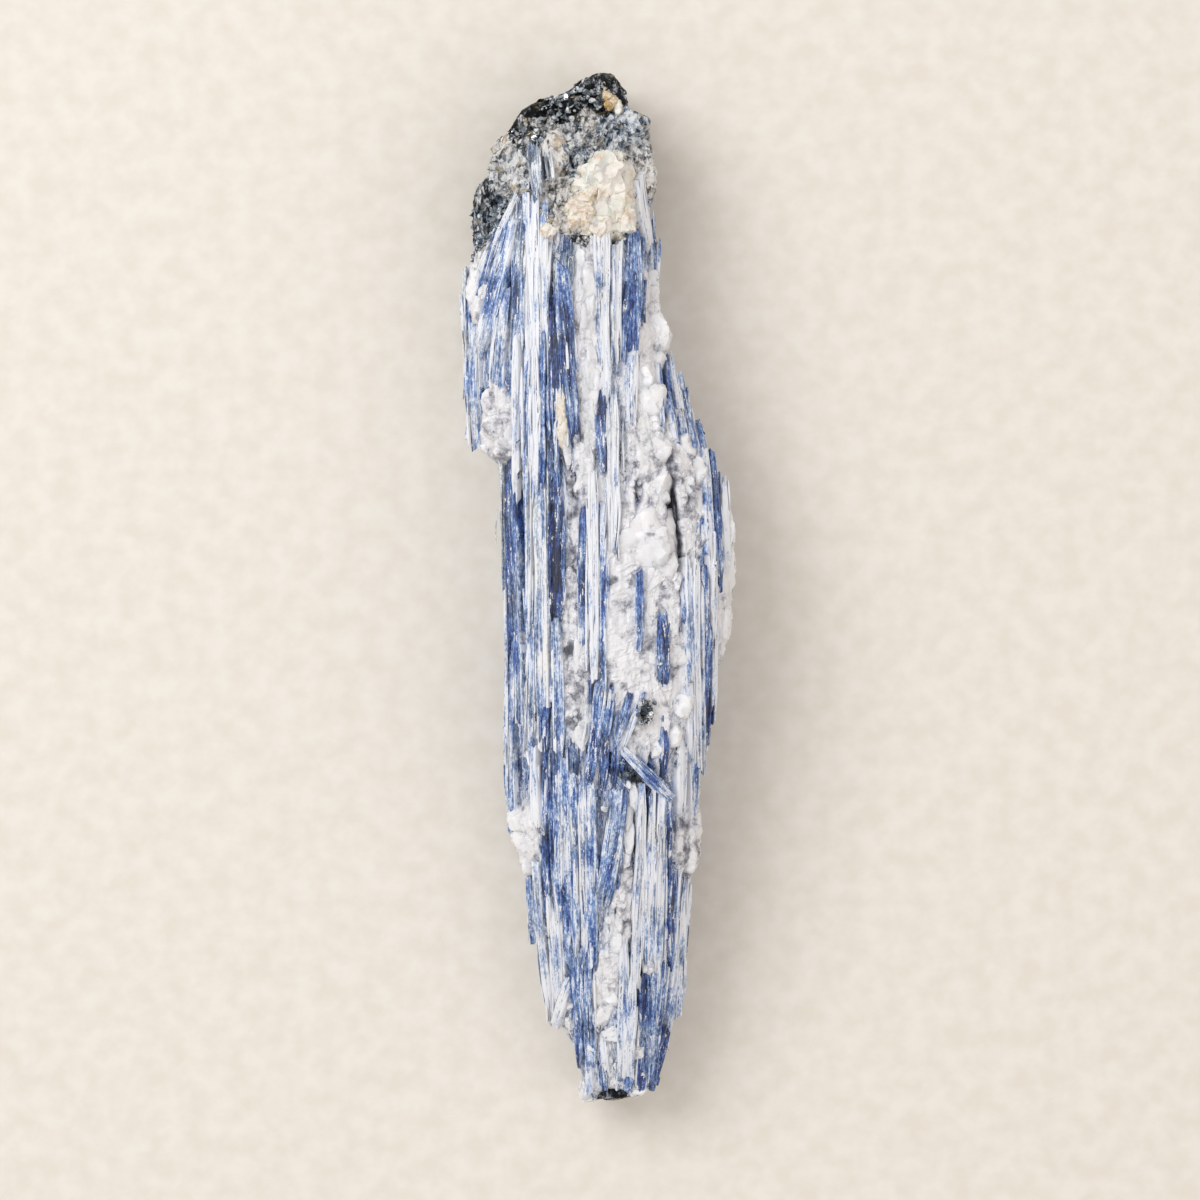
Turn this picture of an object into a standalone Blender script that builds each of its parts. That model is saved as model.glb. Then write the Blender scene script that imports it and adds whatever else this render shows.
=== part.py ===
# Kyanite blade cluster: a bundle of flat kyanite blades with quartz grown between them
# and a rough head of mica schist, all one stone. Lies flat, long way along Y, head at +Y.
# Lengths below are in millimetres and become metres when a mesh is made.
import math
import random

import bmesh
import bpy
import numpy as np
from mathutils import Matrix, Vector, noise

MM = 0.001

# Main sizes
TOP_FULLNESS = 2.5
UNDER_FULLNESS = 3.4
MATRIX_INSET = 1.1
MATRIX_SIDES = 12
HEAD_START = 50.0
BLADE_DEPTH = 6.5
BLADE_BEND = 0.35
LONG_BLADE = 17.0
LEAN_ACROSS = 1.1
LEAN_ALONG = 0.5
UNDER_BLADE_DEPTH = 4.5
UNDER_BLADE_WIDTHS = (3.0, 5.2)
UNDER_CLEARANCE = 0.45
REST_FACE_HEIGHT = 6.0
REST_EDGE = ((0.0, 0.0), (0.7, 0.5), (REST_FACE_HEIGHT, 0.8))
CLEFT_WIDTH = 1.1
CLEFT_FLARE = 0.4
CLEFT_FLOOR = 0.24
CLEFT_DEPTH = 6.0
CLEFT_RISE = 5.0
CLEFT_END_SHARE = 0.35
LUMP_PLANES = 11
LUMP_ROUGHNESS = 0.1
HEAD_ROUGHNESS = 0.22
SPECK = 0.000002
TRIANGLE_BUDGET = 9800

KYANITE, QUARTZ, SCHIST, FELDSPAR = range(4)

# Outline seen from above, as (y, x) from the head down
LEFT_EDGE = [
    (77.4, 1.2), (75.8, -3.4), (74.0, -7.2), (71.9, -11.2), (68.1, -13.9), (65.6, -16.0), (60.5, -17.6),
    (54.9, -19.1), (49.8, -19.1), (43.2, -20.4), (36.0, -19.7), (30.6, -19.9), (24.9, -18.8), (21.3, -18.1),
    (18.8, -15.2), (12.0, -14.5), (1.1, -13.9), (-22.5, -13.7), (-34.8, -13.8), (-38.4, -12.7),
    (-42.5, -11.2), (-49.7, -10.4), (-53.9, -8.6), (-60.3, -7.3), (-64.2, -6.4), (-69.8, -3.7),
    (-73.5, -2.6), (-77.4, -1.6),
]
RIGHT_EDGE = [
    (77.4, 2.0), (73.1, 4.1), (70.8, 7.3), (67.7, 8.2), (62.4, 8.6), (56.1, 8.2), (48.0, 8.9), (41.4, 9.1),
    (37.8, 11.0), (34.7, 10.2), (31.7, 11.9), (27.8, 13.1), (24.3, 14.9), (20.1, 16.2), (13.1, 19.4),
    (9.0, 20.3), (1.5, 20.4), (-6.5, 19.8), (-12.2, 17.6), (-16.8, 17.6), (-22.5, 16.3), (-27.9, 15.5),
    (-39.3, 15.4), (-42.8, 14.2), (-49.7, 13.4), (-59.6, 12.5), (-66.9, 10.7), (-73.1, 8.8), (-75.9, 6.6),
    (-77.4, 3.0),
]
# Heights along the length, as (y, underside, widest level, top)
HEIGHTS = [
    (78.0, 5.0, 9.0, 13.0), (72.0, 3.0, 10.0, 18.5), (64.0, 1.8, 10.5, 21.5), (52.0, 1.2, 11.0, 23.5),
    (40.0, 1.0, 11.5, 25.2), (20.0, 0.9, 12.0, 26.6), (0.0, 0.9, 12.0, 26.2), (-20.0, 0.9, 11.5, 25.8),
    (-40.0, 1.0, 10.5, 22.8), (-60.0, 1.8, 9.0, 17.5), (-72.0, 3.2, 8.0, 14.0), (-78.0, 5.0, 7.5, 11.0),
]

# Blades seen from above: upper end x, y, lower end x, y, width, height above the bundle
BLADES = [
    (-19.9, 46.0, -19.3, 28.8, 1.3, 0.3), (-12.4, 57.5, -18.9, 43.5, 1.9, 0.9),
    (-18.4, 37.5, -18.1, 21.5, 1.8, 0.4), (-13.6, 51.3, -17.4, 36.8, 2.8, 1.1),
    (-13.7, 43.5, -14.8, 30.3, 1.7, 0.5), (-11.6, 53.3, -11.9, 36.8, 2.0, 0.8),
    (-11.9, 37.2, -11.9, 13.5, 1.2, 1.0), (-10.0, 54.8, -10.3, 36.0, 1.1, 0.6),
    (-8.8, 54.3, -9.1, 35.7, 1.2, 0.9), (-7.5, 53.3, -7.9, 37.5, 1.1, 0.4),
    (-6.2, 51.0, -6.3, 39.2, 1.4, 0.1), (-4.5, 51.0, -4.7, 44.6, 2.1, 1.0),
    (-5.3, 45.4, -3.4, 22.5, 2.3, 1.3), (-6.7, 39.0, -6.5, 15.2, 2.2, -0.5),
    (-5.0, 30.8, -4.7, 19.0, 1.7, 0.5), (-10.3, 36.8, -10.6, 14.7, 1.0, 0.2),
    (-9.3, 36.0, -9.4, 14.2, 1.1, 0.7), (-8.2, 36.8, -8.3, 15.0, 1.0, 0.3),
    (-2.4, 50.5, -2.3, 41.6, 2.6, 0.2), (-1.6, 42.4, -1.6, 15.0, 3.2, 0.6),
    (-0.2, 52.4, 0.3, 35.0, 1.4, 0.4), (1.2, 52.1, 1.1, 27.8, 1.3, 0.8), (0.6, 28.6, 0.6, 17.4, 1.5, 0.3),
    (2.3, 29.0, 2.4, 13.5, 1.8, 0.6), (2.9, 49.2, 2.9, 35.6, 1.4, 0.6), (5.0, 51.5, 4.9, 34.5, 2.7, 0.9),
    (4.9, 36.0, 4.9, 24.8, 2.0, 0.3), (6.2, 59.6, 7.5, 51.2, 2.2, 0.8), (8.0, 54.5, 8.1, 46.5, 1.5, 0.3),
    (8.9, 33.2, 9.3, 24.6, 0.9, 0.4), (9.8, 34.6, 11.3, 23.0, 1.1, 0.9), (10.9, 33.6, 12.5, 22.5, 1.0, 0.4),
    (12.0, 31.6, 13.7, 21.6, 1.1, 0.8), (13.3, 27.8, 14.7, 19.0, 1.2, 0.3),
    (14.8, 24.6, 15.9, 18.4, 1.3, 0.7), (15.6, 19.2, 16.5, 2.6, 1.4, 0.9),
    (17.0, 18.0, 17.9, 2.0, 1.3, 0.4), (18.4, 15.6, 19.0, 4.0, 1.3, 0.7),
    (15.1, 10.2, 14.8, 2.2, 2.0, -0.4), (-14.4, 18.0, -13.9, -0.5, 1.1, 0.2),
    (-12.7, 19.4, -12.0, -8.0, 3.1, 0.9), (-11.9, -7.0, -11.6, -18.0, 2.1, 0.3),
    (-13.1, -1.0, -13.1, -33.3, 1.2, 0.5), (-8.6, 16.0, -8.3, -16.8, 2.2, 0.6),
    (-10.2, 4.5, -10.0, -24.0, 1.2, 0.1), (-6.3, 15.8, -6.2, -4.8, 2.2, 1.0),
    (-6.2, -4.2, -6.0, -23.6, 1.2, 0.4), (-3.9, 15.5, -3.8, -10.8, 2.5, -0.2),
    (-2.3, -10.0, -2.2, -21.0, 3.4, 0.3), (-2.3, 10.8, -2.2, -8.4, 1.2, -0.1),
    (-0.8, 15.6, -0.7, -11.4, 1.6, 0.8), (0.6, 11.0, 0.6, -15.3, 1.0, 0.3), (2.0, 17.6, 2.1, 5.4, 2.1, 1.2),
    (5.9, 1.0, 5.9, -8.2, 1.3, 0.9), (9.3, -3.6, 9.5, -13.4, 1.8, 0.8), (13.0, 3.3, 13.6, -23.4, 1.2, 0.5),
    (14.3, 2.4, 14.7, -23.8, 1.1, 0.9), (15.5, 2.4, 15.9, -9.0, 1.1, 0.4),
    (17.0, 1.0, 17.0, -17.0, 1.4, 0.6), (16.0, -6.0, 15.8, -22.6, 1.6, 0.2),
    (1.1, -21.6, 2.1, -15.0, 1.3, 0.6), (2.6, -21.8, 4.6, -14.6, 1.3, 0.9),
    (4.2, -21.9, 6.4, -15.4, 1.2, 0.5), (0.1, -14.8, -1.6, -29.2, 1.6, 1.1),
    (9.3, -19.0, 9.4, -27.0, 1.6, 0.4), (-7.8, -16.4, -7.7, -27.0, 1.1, 0.0),
    (-3.8, -21.4, -3.6, -27.8, 1.4, 0.3), (4.1, -24.0, 10.2, -30.2, 1.9, 1.5),
    (-9.3, -24.4, -9.2, -33.8, 1.7, 0.8), (-7.7, -26.2, -7.5, -51.4, 1.2, 0.0),
    (-6.3, -23.2, -5.9, -47.6, 1.4, 0.5), (-5.0, -25.8, -4.7, -52.5, 1.2, 0.2),
    (-3.8, -27.2, -3.3, -52.8, 1.3, 0.7), (-2.5, -27.6, -2.1, -53.0, 1.2, 0.3),
    (-1.2, -29.0, -0.9, -55.0, 1.3, 0.6), (2.9, -30.8, 0.8, -45.4, 2.9, 1.0),
    (5.0, -30.8, 2.3, -54.4, 2.2, 0.4), (6.5, -31.4, 5.5, -57.0, 1.3, 0.7),
    (7.8, -31.2, 7.1, -57.4, 1.3, 0.3), (9.0, -31.8, 8.5, -57.2, 1.4, 0.8),
    (10.4, -30.8, 10.2, -44.0, 1.5, 0.0), (12.3, -22.4, 12.2, -34.0, 1.9, 0.6),
    (14.2, -22.4, 14.1, -33.0, 1.6, 0.3), (11.1, -41.0, 11.0, -56.0, 1.7, 0.4),
    (12.7, -43.0, 12.0, -62.0, 1.5, 0.7), (-10.4, -42.6, -9.8, -51.6, 1.5, 0.5),
    (-8.9, -43.4, -7.2, -64.2, 1.8, 0.7), (-6.4, -47.0, -5.6, -63.2, 1.5, 0.3),
    (-4.1, -57.8, -6.2, -65.0, 1.8, 1.4), (-3.3, -52.4, -2.8, -70.9, 1.5, 0.6),
    (-1.8, -53.2, -1.4, -71.6, 1.5, 0.2), (0.8, -61.0, 0.8, -71.6, 2.1, 0.9),
    (3.7, -54.0, 3.3, -72.0, 1.6, 0.4), (5.2, -56.4, 4.8, -72.4, 1.4, 0.8),
    (6.9, -56.8, 6.3, -73.8, 1.5, 0.3), (8.4, -57.0, 7.3, -74.2, 1.3, 0.7),
    (9.9, -55.6, 8.4, -73.0, 1.4, 0.4), (11.3, -56.2, 9.6, -69.6, 1.3, 0.8),
    (-1.4, -70.8, -1.4, -75.2, 1.6, 0.5), (0.6, -70.8, 0.6, -76.0, 1.7, 0.2),
    (2.6, -71.4, 2.6, -76.0, 1.6, 0.6), (4.6, -71.8, 4.6, -75.6, 1.5, 0.3),
]

# Lumps seen from above: x, y, half width, half length, height above the bundle, material
LUMPS = [
    (-17.8, 45.0, 1.9, 4.8, 0.6, QUARTZ), (-15.0, 26.1, 2.5, 4.0, 0.9, QUARTZ),
    (-15.2, 20.8, 2.5, 2.0, 0.5, QUARTZ), (7.7, 44.6, 1.8, 1.8, 0.9, QUARTZ),
    (8.1, 38.2, 2.7, 3.0, 1.0, QUARTZ), (7.0, 28.8, 2.3, 3.3, 0.8, QUARTZ),
    (7.2, 22.5, 2.1, 2.4, 0.5, QUARTZ), (7.7, 17.8, 2.5, 3.8, 0.9, QUARTZ),
    (5.4, 15.6, 2.1, 2.8, 0.5, QUARTZ), (13.3, 16.0, 2.3, 8.2, 0.3, QUARTZ),
    (14.6, 16.8, 2.3, 3.4, 1.0, QUARTZ), (18.7, 4.8, 1.8, 8.2, 0.6, QUARTZ),
    (18.3, -5.6, 1.7, 7.4, 0.4, QUARTZ), (7.2, 7.5, 4.9, 5.8, 1.6, QUARTZ),
    (4.0, -1.6, 3.2, 3.7, 0.4, QUARTZ), (8.6, -9.0, 4.2, 8.6, 0.5, QUARTZ),
    (11.8, -4.0, 2.2, 7.0, 0.3, QUARTZ), (2.6, -11.8, 1.9, 3.0, 0.3, QUARTZ),
    (11.0, -16.0, 2.6, 6.0, 0.6, QUARTZ), (7.0, -17.9, 1.6, 2.2, 0.9, SCHIST),
    (2.9, -26.3, 2.8, 4.6, 0.3, SCHIST), (-11.1, -35.4, 2.7, 3.5, 0.8, QUARTZ),
    (-10.5, -40.6, 1.4, 2.3, 0.5, QUARTZ), (13.5, -37.2, 1.9, 5.9, 0.4, QUARTZ),
    (-4.0, -60.5, 1.2, 2.7, 0.5, QUARTZ), (1.2, -58.3, 2.1, 3.5, 0.7, QUARTZ),
    (-1.6, -75.7, 1.5, 1.7, 0.4, QUARTZ), (5.7, -75.0, 1.6, 1.3, 0.4, QUARTZ),
    (-2.6, 51.4, 1.9, 1.3, 0.5, SCHIST),
]

# Rough masses of the head: x, y, half width, half length, half height, height above the bundle, material
HEAD_MASSES = [
    (0.6, 73.9, 4.1, 3.4, 5.0, 0.4, SCHIST), (-8.3, 70.3, 5.6, 3.3, 5.0, 0.3, SCHIST),
    (-12.6, 64.4, 3.8, 4.6, 6.0, 0.2, SCHIST), (-15.8, 57.0, 3.1, 6.2, 7.0, 0.0, SCHIST),
    (-9.0, 60.2, 5.6, 6.8, 8.0, 0.4, SCHIST), (4.9, 69.3, 3.0, 2.9, 5.0, 0.5, SCHIST),
    (5.2, 64.9, 3.4, 3.7, 6.0, 0.7, QUARTZ), (-5.4, 65.3, 3.0, 4.8, 6.0, 0.7, QUARTZ),
    (1.0, 58.9, 4.7, 6.5, 8.0, 1.3, FELDSPAR), (-7.3, 52.8, 1.8, 1.8, 3.0, 0.9, FELDSPAR),
    (6.4, 60.4, 2.2, 3.6, 5.0, 0.7, FELDSPAR), (-14.6, 66.3, 1.5, 1.6, 3.0, 0.5, QUARTZ),
    (-9.0, 61.7, 1.4, 3.3, 3.0, 1.0, KYANITE),
]

# Hollows seen from above: x, y, half width, half length, depth
HOLLOWS = [
    (6.2, -28.0, 1.6, 2.3, 4.0), (1.5, 51.4, 0.7, 0.6, 2.2), (1.7, -76.2, 1.3, 0.8, 2.0),
    (-13.7, 65.2, 0.9, 0.8, 2.0), (0.3, 71.6, 0.9, 0.8, 2.4), (7.6, 57.0, 0.5, 1.4, 2.0),
]

# Line of the cleft between the middle and the right shoulder, as (x, y)
CLEFT = [
    (8.6, 36.6), (9.0, 31.0), (9.0, 24.5), (10.0, 19.5), (10.2, 14.6), (10.8, 8.6), (11.6, 1.2),
    (11.9, -2.0),
]

# Places along the stone where the ground mass has a ring
MATRIX_STOPS = [
    76.6, 74.0, 70.0, 64.0, 54.0, 43.0, 33.0, 24.0, 18.0,
    8.0, -6.0, -20.0, -36.0, -46.0, -58.0, -67.0, -73.0, -76.2,
]

# Rows of blades under the stone, as (upper end y, lower end y), and their places round it in degrees
UNDER_ROWS = [(47.0, 16.0), (19.0, -14.0), (-11.0, -41.0), (-37.0, -66.0)]
UNDER_ANGLES = [-172.0, -150.0, -126.0, -102.0, -78.0, -54.0, -30.0, -8.0]

# Rings of lumps low on the flanks: y, then their places round the stone in degrees
FLANK_RINGS = [
    (71.0, (-165.0, -115.0, -65.0, -18.0)),
    (64.0, (-165.0, -115.0, -65.0, -18.0)),
    (57.0, (-165.0, -115.0, -65.0, -18.0)),
    (8.0, (-14.0, -42.0)),
    (-2.0, (-14.0, -42.0)),
]

# Plan of the broad blade on the underside whose flat face the stone rests on, as (x, y)
REST_PLAN = [
    (-6.2, 44.0), (-4.4, 49.0), (-1.2, 46.5), (1.5, 52.0), (4.2, 45.0), (6.4, 44.0), (7.2, 8.0),
    (6.8, -24.0), (5.0, -43.0), (3.6, -46.0), (2.2, -42.5), (0.4, -53.0), (-2.2, -49.0), (-4.6, -50.5),
    (-6.4, -22.0), (-7.0, 12.0),
]


def along(table, y, column=1):
    """Reads one column of a table of rows that start with y, straight between rows."""
    rows = sorted(table)
    return float(np.interp(y, [row[0] for row in rows], [row[column] for row in rows]))


def ring_point(y, angle, inset=0.0):
    """Point of the bundle's cross-section at y: a full oval, flatter below than above."""
    left = along(LEFT_EDGE, y) + inset
    right = along(RIGHT_EDGE, y) - inset
    under = along(HEIGHTS, y, 1) + 0.5 * inset
    waist = along(HEIGHTS, y, 2)
    top = along(HEIGHTS, y, 3) - inset
    cosine = math.cos(angle)
    sine = math.sin(angle)
    power = 2.0 / (TOP_FULLNESS if sine > 0 else UNDER_FULLNESS)
    across = math.copysign(abs(cosine) ** power, cosine)
    up = abs(sine) ** power
    x = 0.5 * (left + right) + 0.5 * (right - left) * across
    z = waist + (top - waist) * up if sine > 0 else waist - (waist - under) * up
    return x, z


def skin_height(x, y):
    """Height of the bundle's upper side at x, y."""
    left = along(LEFT_EDGE, y)
    right = along(RIGHT_EDGE, y)
    offset = (x - 0.5 * (left + right)) / max(0.5 * (right - left), 0.5)
    offset = min(abs(offset), 0.95)
    waist = along(HEIGHTS, y, 2)
    return waist + (along(HEIGHTS, y, 3) - waist) * (1.0 - offset ** TOP_FULLNESS) ** (1.0 / TOP_FULLNESS)


def loft(bm, rings, material):
    """Closes a row of rings with equal point counts into one solid with two end faces."""
    loops = [[bm.verts.new(Vector(point) * MM) for point in ring] for ring in rings]
    faces = [bm.faces.new(loops[0]), bm.faces.new(loops[-1])]
    for low, high in zip(loops, loops[1:]):
        for i in range(len(low)):
            j = (i + 1) % len(low)
            faces.append(bm.faces.new((low[i], low[j], high[j], high[i])))
    for face in faces:
        face.material_index = material
    return faces


def blade(bm, start, end, width, depth, out_start, out_end, rng, material=KYANITE):
    """Flat blade with bevelled upper edges, a slight bend and oblique broken ends."""
    start = Vector(start)
    end = Vector(end)
    run = (end - start).normalized()
    bend = BLADE_BEND * rng.uniform(-1.0, 1.0)
    skews = [rng.uniform(-0.9, 0.9) * width * 0.6 for _ in range(2)]
    taper = (rng.uniform(0.62, 0.9), 1.0, rng.uniform(0.55, 0.9))
    crest = rng.uniform(-0.18, 0.18)
    rings = []
    steps = (0, 1, 2) if (end - start).length > LONG_BLADE else (0, 2)
    for step in steps:
        out = out_start.lerp(out_end, 0.5 * step).normalized()
        side = run.cross(out).normalized()
        out = side.cross(run).normalized()
        centre = start.lerp(end, 0.5 * step) + side * (bend if step == 1 else 0.0)
        half = 0.5 * width * taper[step]
        skew = (skews[0], 0.0, skews[1])[step]
        section = [
            (-half, -depth), (half, -depth), (half, -0.45 * width), (half * (0.55 + crest), 0.0),
            (-half * (0.55 - crest), 0.0), (-half, -0.32 * width),
        ]
        ring = []
        for across, up in section:
            ring.append(centre + side * across + out * up + run * (skew * across / half))
        rings.append(ring)
    loft(bm, rings, material)


def facing(x, y):
    """Direction straight out of the bundle's upper side, never tipped past a steep lean."""
    reach = 0.6
    slope_x = (skin_height(x + reach, y) - skin_height(x - reach, y)) / (2.0 * reach)
    slope_x = max(-LEAN_ACROSS, min(LEAN_ACROSS, slope_x))
    slope_y = (skin_height(x, y + 3.0) - skin_height(x, y - 3.0)) / 6.0
    slope_y = max(-LEAN_ALONG, min(LEAN_ALONG, slope_y))
    return Vector((-slope_x, -slope_y, 1.0)).normalized()


def lump(bm, centre, radii, roughness, seed, material, detail=2):
    """Broken mineral lump: a ball cut back by random planes to flat faces, with a little unevenness."""
    made = bmesh.ops.create_icosphere(bm, subdivisions=detail, radius=1.0)["verts"]
    rng = random.Random(seed)
    planes = []
    for _ in range(LUMP_PLANES):
        height = rng.uniform(-0.9, 1.0)
        turn = rng.uniform(0.0, 2.0 * math.pi)
        flat = math.sqrt(1.0 - height * height)
        way = Vector((flat * math.cos(turn), flat * math.sin(turn), height))
        planes.append((way, rng.uniform(0.72, 1.0)))
    shift = Vector((seed * 3.7, seed * 1.9, seed * 5.3))
    spin = Matrix.Rotation(seed * 1.3, 3, "Z") @ Matrix.Rotation(seed * 0.7, 3, "X")
    for vert in made:
        direction = (spin @ vert.co).normalized()
        swell = min([1.14] + [gap / direction.dot(way) for way, gap in planes if direction.dot(way) > 0.3])
        swell *= 1.0 + roughness * noise.noise(direction * 2.3 + shift)
        vert.co = Vector((direction[i] * radii[i] * swell + centre[i] for i in range(3))) * MM
    for face in {face for vert in made for face in vert.link_faces}:
        face.material_index = material


def make_matrix():
    """The ground mass that every blade and lump is rooted in."""
    bm = bmesh.new()
    rng = random.Random(11)
    rings = []
    for y in MATRIX_STOPS:
        ring = []
        inset = MATRIX_INSET if abs(y) < 73.5 else 0.5
        for i in range(MATRIX_SIDES):
            angle = 2.0 * math.pi * (i + 0.35) / MATRIX_SIDES
            x, z = ring_point(y, angle, inset)
            ring.append((x + rng.uniform(-0.15, 0.15), y + rng.uniform(-0.4, 0.4), max(z, 0.8)))
        rings.append(ring)
    for face in loft(bm, rings, QUARTZ):
        if face.calc_center_median().y > HEAD_START * MM:
            face.material_index = SCHIST
    return finish(bm, "kyanite_cluster")


def make_blades():
    """The blades of the upper side, each leaning with the bundle where it lies."""
    bm = bmesh.new()
    rng = random.Random(7)
    for x0, y0, x1, y1, width, lift in BLADES:
        out_start = facing(x0, y0)
        out_end = facing(x1, y1)
        start = Vector((x0, y0, skin_height(x0, y0))) + out_start * lift
        end = Vector((x1, y1, skin_height(x1, y1))) + out_end * lift
        middle = skin_height(0.5 * (x0 + x1), 0.5 * (y0 + y1)) - 0.5 * (start.z + end.z) + lift
        start.z += 0.5 * middle
        end.z += 0.5 * middle
        steep = abs(out_start.x) + abs(out_end.x)
        depth = BLADE_DEPTH * (1.0 - 0.3 * steep)
        blade(bm, start, end, width, depth, out_start, out_end, rng)
    return finish(bm, "top_blades")


def make_under_blades():
    """Broader blades that wrap the flanks and the underside."""
    bm = bmesh.new()
    rng = random.Random(23)
    for y0, y1 in UNDER_ROWS:
        for degrees in UNDER_ANGLES:
            angle = math.radians(degrees + rng.uniform(-5.0, 5.0))
            ends = []
            outs = []
            for y in (y0 + rng.uniform(-3.0, 3.0), y1 + rng.uniform(-3.0, 3.0)):
                x, z = ring_point(y, angle, 0.2)
                ahead = ring_point(y, angle + 0.15)
                behind = ring_point(y, angle - 0.15)
                out = Vector((ahead[1] - behind[1], 0.0, behind[0] - ahead[0])).normalized()
                ends.append(Vector((x, y, max(z, UNDER_CLEARANCE + 0.45))))
                outs.append(out)
            width = rng.uniform(*UNDER_BLADE_WIDTHS)
            blade(bm, ends[0], ends[1], width, UNDER_BLADE_DEPTH, outs[0], outs[1], rng)
    for vert in bm.verts:
        vert.co.z = max(vert.co.z, (UNDER_CLEARANCE + 0.3 * rng.random()) * MM)
    return finish(bm, "under_blades")


def make_lumps():
    """Quartz and schist lumps between and over the blades."""
    bm = bmesh.new()
    for seed, (x, y, half_x, half_y, lift, material) in enumerate(LUMPS):
        half_z = 2.6 + 0.5 * half_x
        centre = (x, y, skin_height(x, y) + lift - half_z)
        detail = 2 if half_x > 1.8 else 1
        lump(bm, centre, (half_x, half_y, half_z), LUMP_ROUGHNESS, seed + 1, material, detail)
    return finish(bm, "quartz_lumps")


def make_head():
    """Rough schist, quartz and feldspar masses at the head."""
    bm = bmesh.new()
    for seed, (x, y, half_x, half_y, half_z, lift, material) in enumerate(HEAD_MASSES):
        centre = (x, y, skin_height(x, y) + lift - half_z)
        detail = 1 if half_x < 2.0 else 2
        lump(bm, centre, (half_x, half_y, half_z), HEAD_ROUGHNESS, seed + 40, material, detail)
    rng = random.Random(5)
    for row, (y, spots) in enumerate(FLANK_RINGS):
        mineral = SCHIST if y > HEAD_START else QUARTZ
        for column, degrees in enumerate(spots):
            y_here = y + rng.uniform(-1.5, 1.5)
            x, z = ring_point(y_here, math.radians(degrees + rng.uniform(-9.0, 9.0)), 3.2)
            size = rng.uniform(3.0, 4.2)
            centre = (x, y_here, max(z, UNDER_CLEARANCE + 0.85 * size))
            radii = (0.8 * size, 1.3 * size, 0.8 * size)
            lump(bm, centre, radii, 0.2, 100 + 5 * row + column, mineral)
    return finish(bm, "head_masses")


def make_rest_blade():
    """Broad blade let into the underside; its flat face is the lowest part of the stone."""
    bm = bmesh.new()
    rings = []
    for level, grow in REST_EDGE:
        rings.append([(x + math.copysign(grow, x), y + math.copysign(grow, y), level) for x, y in REST_PLAN])
    loft(bm, rings, KYANITE)
    return finish(bm, "rest_blade")


def make_cleft():
    """Wedge that opens the deep cleft beside the right shoulder."""
    bm = bmesh.new()
    rings = []
    for i, (x, y) in enumerate(CLEFT):
        fade = CLEFT_END_SHARE if i in (0, len(CLEFT) - 1) else 1.0
        z = skin_height(x, y)
        high = z + CLEFT_RISE
        low = z - CLEFT_DEPTH * fade
        wide = 0.5 * CLEFT_WIDTH * fade + CLEFT_FLARE
        narrow = 0.5 * CLEFT_FLOOR
        rings.append([(x - wide, y, high), (x - narrow, y, low), (x + narrow, y, low), (x + wide, y, high)])
    loft(bm, rings, QUARTZ)
    return finish(bm, "cleft_cutter")


def make_hollows():
    """Rough pits and holes sunk into the upper side."""
    bm = bmesh.new()
    for seed, (x, y, half_x, half_y, depth) in enumerate(HOLLOWS):
        centre = (x, y, skin_height(x, y) + 0.4)
        lump(bm, centre, (half_x, half_y, depth), 0.25, seed + 70, SCHIST)
    return finish(bm, "hollow_cutters")


def stone(name, colour, roughness):
    """One opaque mineral."""
    material = bpy.data.materials.new(name)
    material.use_nodes = True
    shader = material.node_tree.nodes["Principled BSDF"]
    shader.inputs["Base Color"].default_value = (*colour, 1.0)
    shader.inputs["Roughness"].default_value = roughness
    return material


def kyanite():
    return stone("kyanite", (0.42, 0.53, 0.74), 0.38)


def quartz():
    return stone("quartz", (0.78, 0.76, 0.73), 0.45)


def mica_schist():
    return stone("mica_schist", (0.06, 0.075, 0.085), 0.5)


def feldspar():
    return stone("feldspar", (0.8, 0.72, 0.6), 0.6)


def finish(bm, name):
    """Turns a worked mesh into an object with all four materials."""
    bmesh.ops.triangulate(bm, faces=bm.faces)
    bmesh.ops.recalc_face_normals(bm, faces=bm.faces)
    mesh = bpy.data.meshes.new(name)
    bm.to_mesh(mesh)
    bm.free()
    for material in MATERIALS:
        mesh.materials.append(material)
    obj = bpy.data.objects.new(name, mesh)
    bpy.context.scene.collection.objects.link(obj)
    return obj


def combine(body, tool, operation):
    """Joins a group of overlapping solids to the body, or cuts with it, and keeps their materials."""
    modifier = body.modifiers.new(tool.name, "BOOLEAN")
    modifier.operation = operation
    modifier.solver = "EXACT"
    modifier.use_self = True
    modifier.material_mode = "TRANSFER"
    modifier.object = tool
    with bpy.context.temp_override(object=body, active_object=body, selected_objects=[body]):
        bpy.ops.object.modifier_apply(modifier=modifier.name)
    bpy.data.objects.remove(tool)


def islands(bm):
    """Groups of faces that hang together."""
    left = set(bm.faces)
    while left:
        group = [left.pop()]
        for face in group:
            for edge in face.edges:
                for other in edge.link_faces:
                    if other in left:
                        left.remove(other)
                        group.append(other)
        yield group


def clean(body):
    """Merges specks left by the joining, drops sealed pockets and centres the stone on its base."""
    bm = bmesh.new()
    bm.from_mesh(body.data)
    bmesh.ops.triangulate(bm, faces=bm.faces)
    bmesh.ops.remove_doubles(bm, verts=bm.verts, dist=SPECK)
    bmesh.ops.dissolve_degenerate(bm, edges=bm.edges, dist=SPECK)
    bmesh.ops.triangulate(bm, faces=bm.faces)
    groups = sorted(islands(bm), key=len)
    for group in groups[:-1]:
        bmesh.ops.delete(bm, geom=group, context="FACES")
    loose = [vert for vert in bm.verts if not vert.link_faces]
    bmesh.ops.delete(bm, geom=loose, context="VERTS")
    corners = np.array([vert.co for vert in bm.verts])
    low = corners.min(axis=0)
    high = corners.max(axis=0)
    middle = 0.5 * (low + high)
    bmesh.ops.translate(bm, verts=bm.verts, vec=(-middle[0], -middle[1], -low[2]))
    bm.to_mesh(body.data)
    bm.free()


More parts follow.
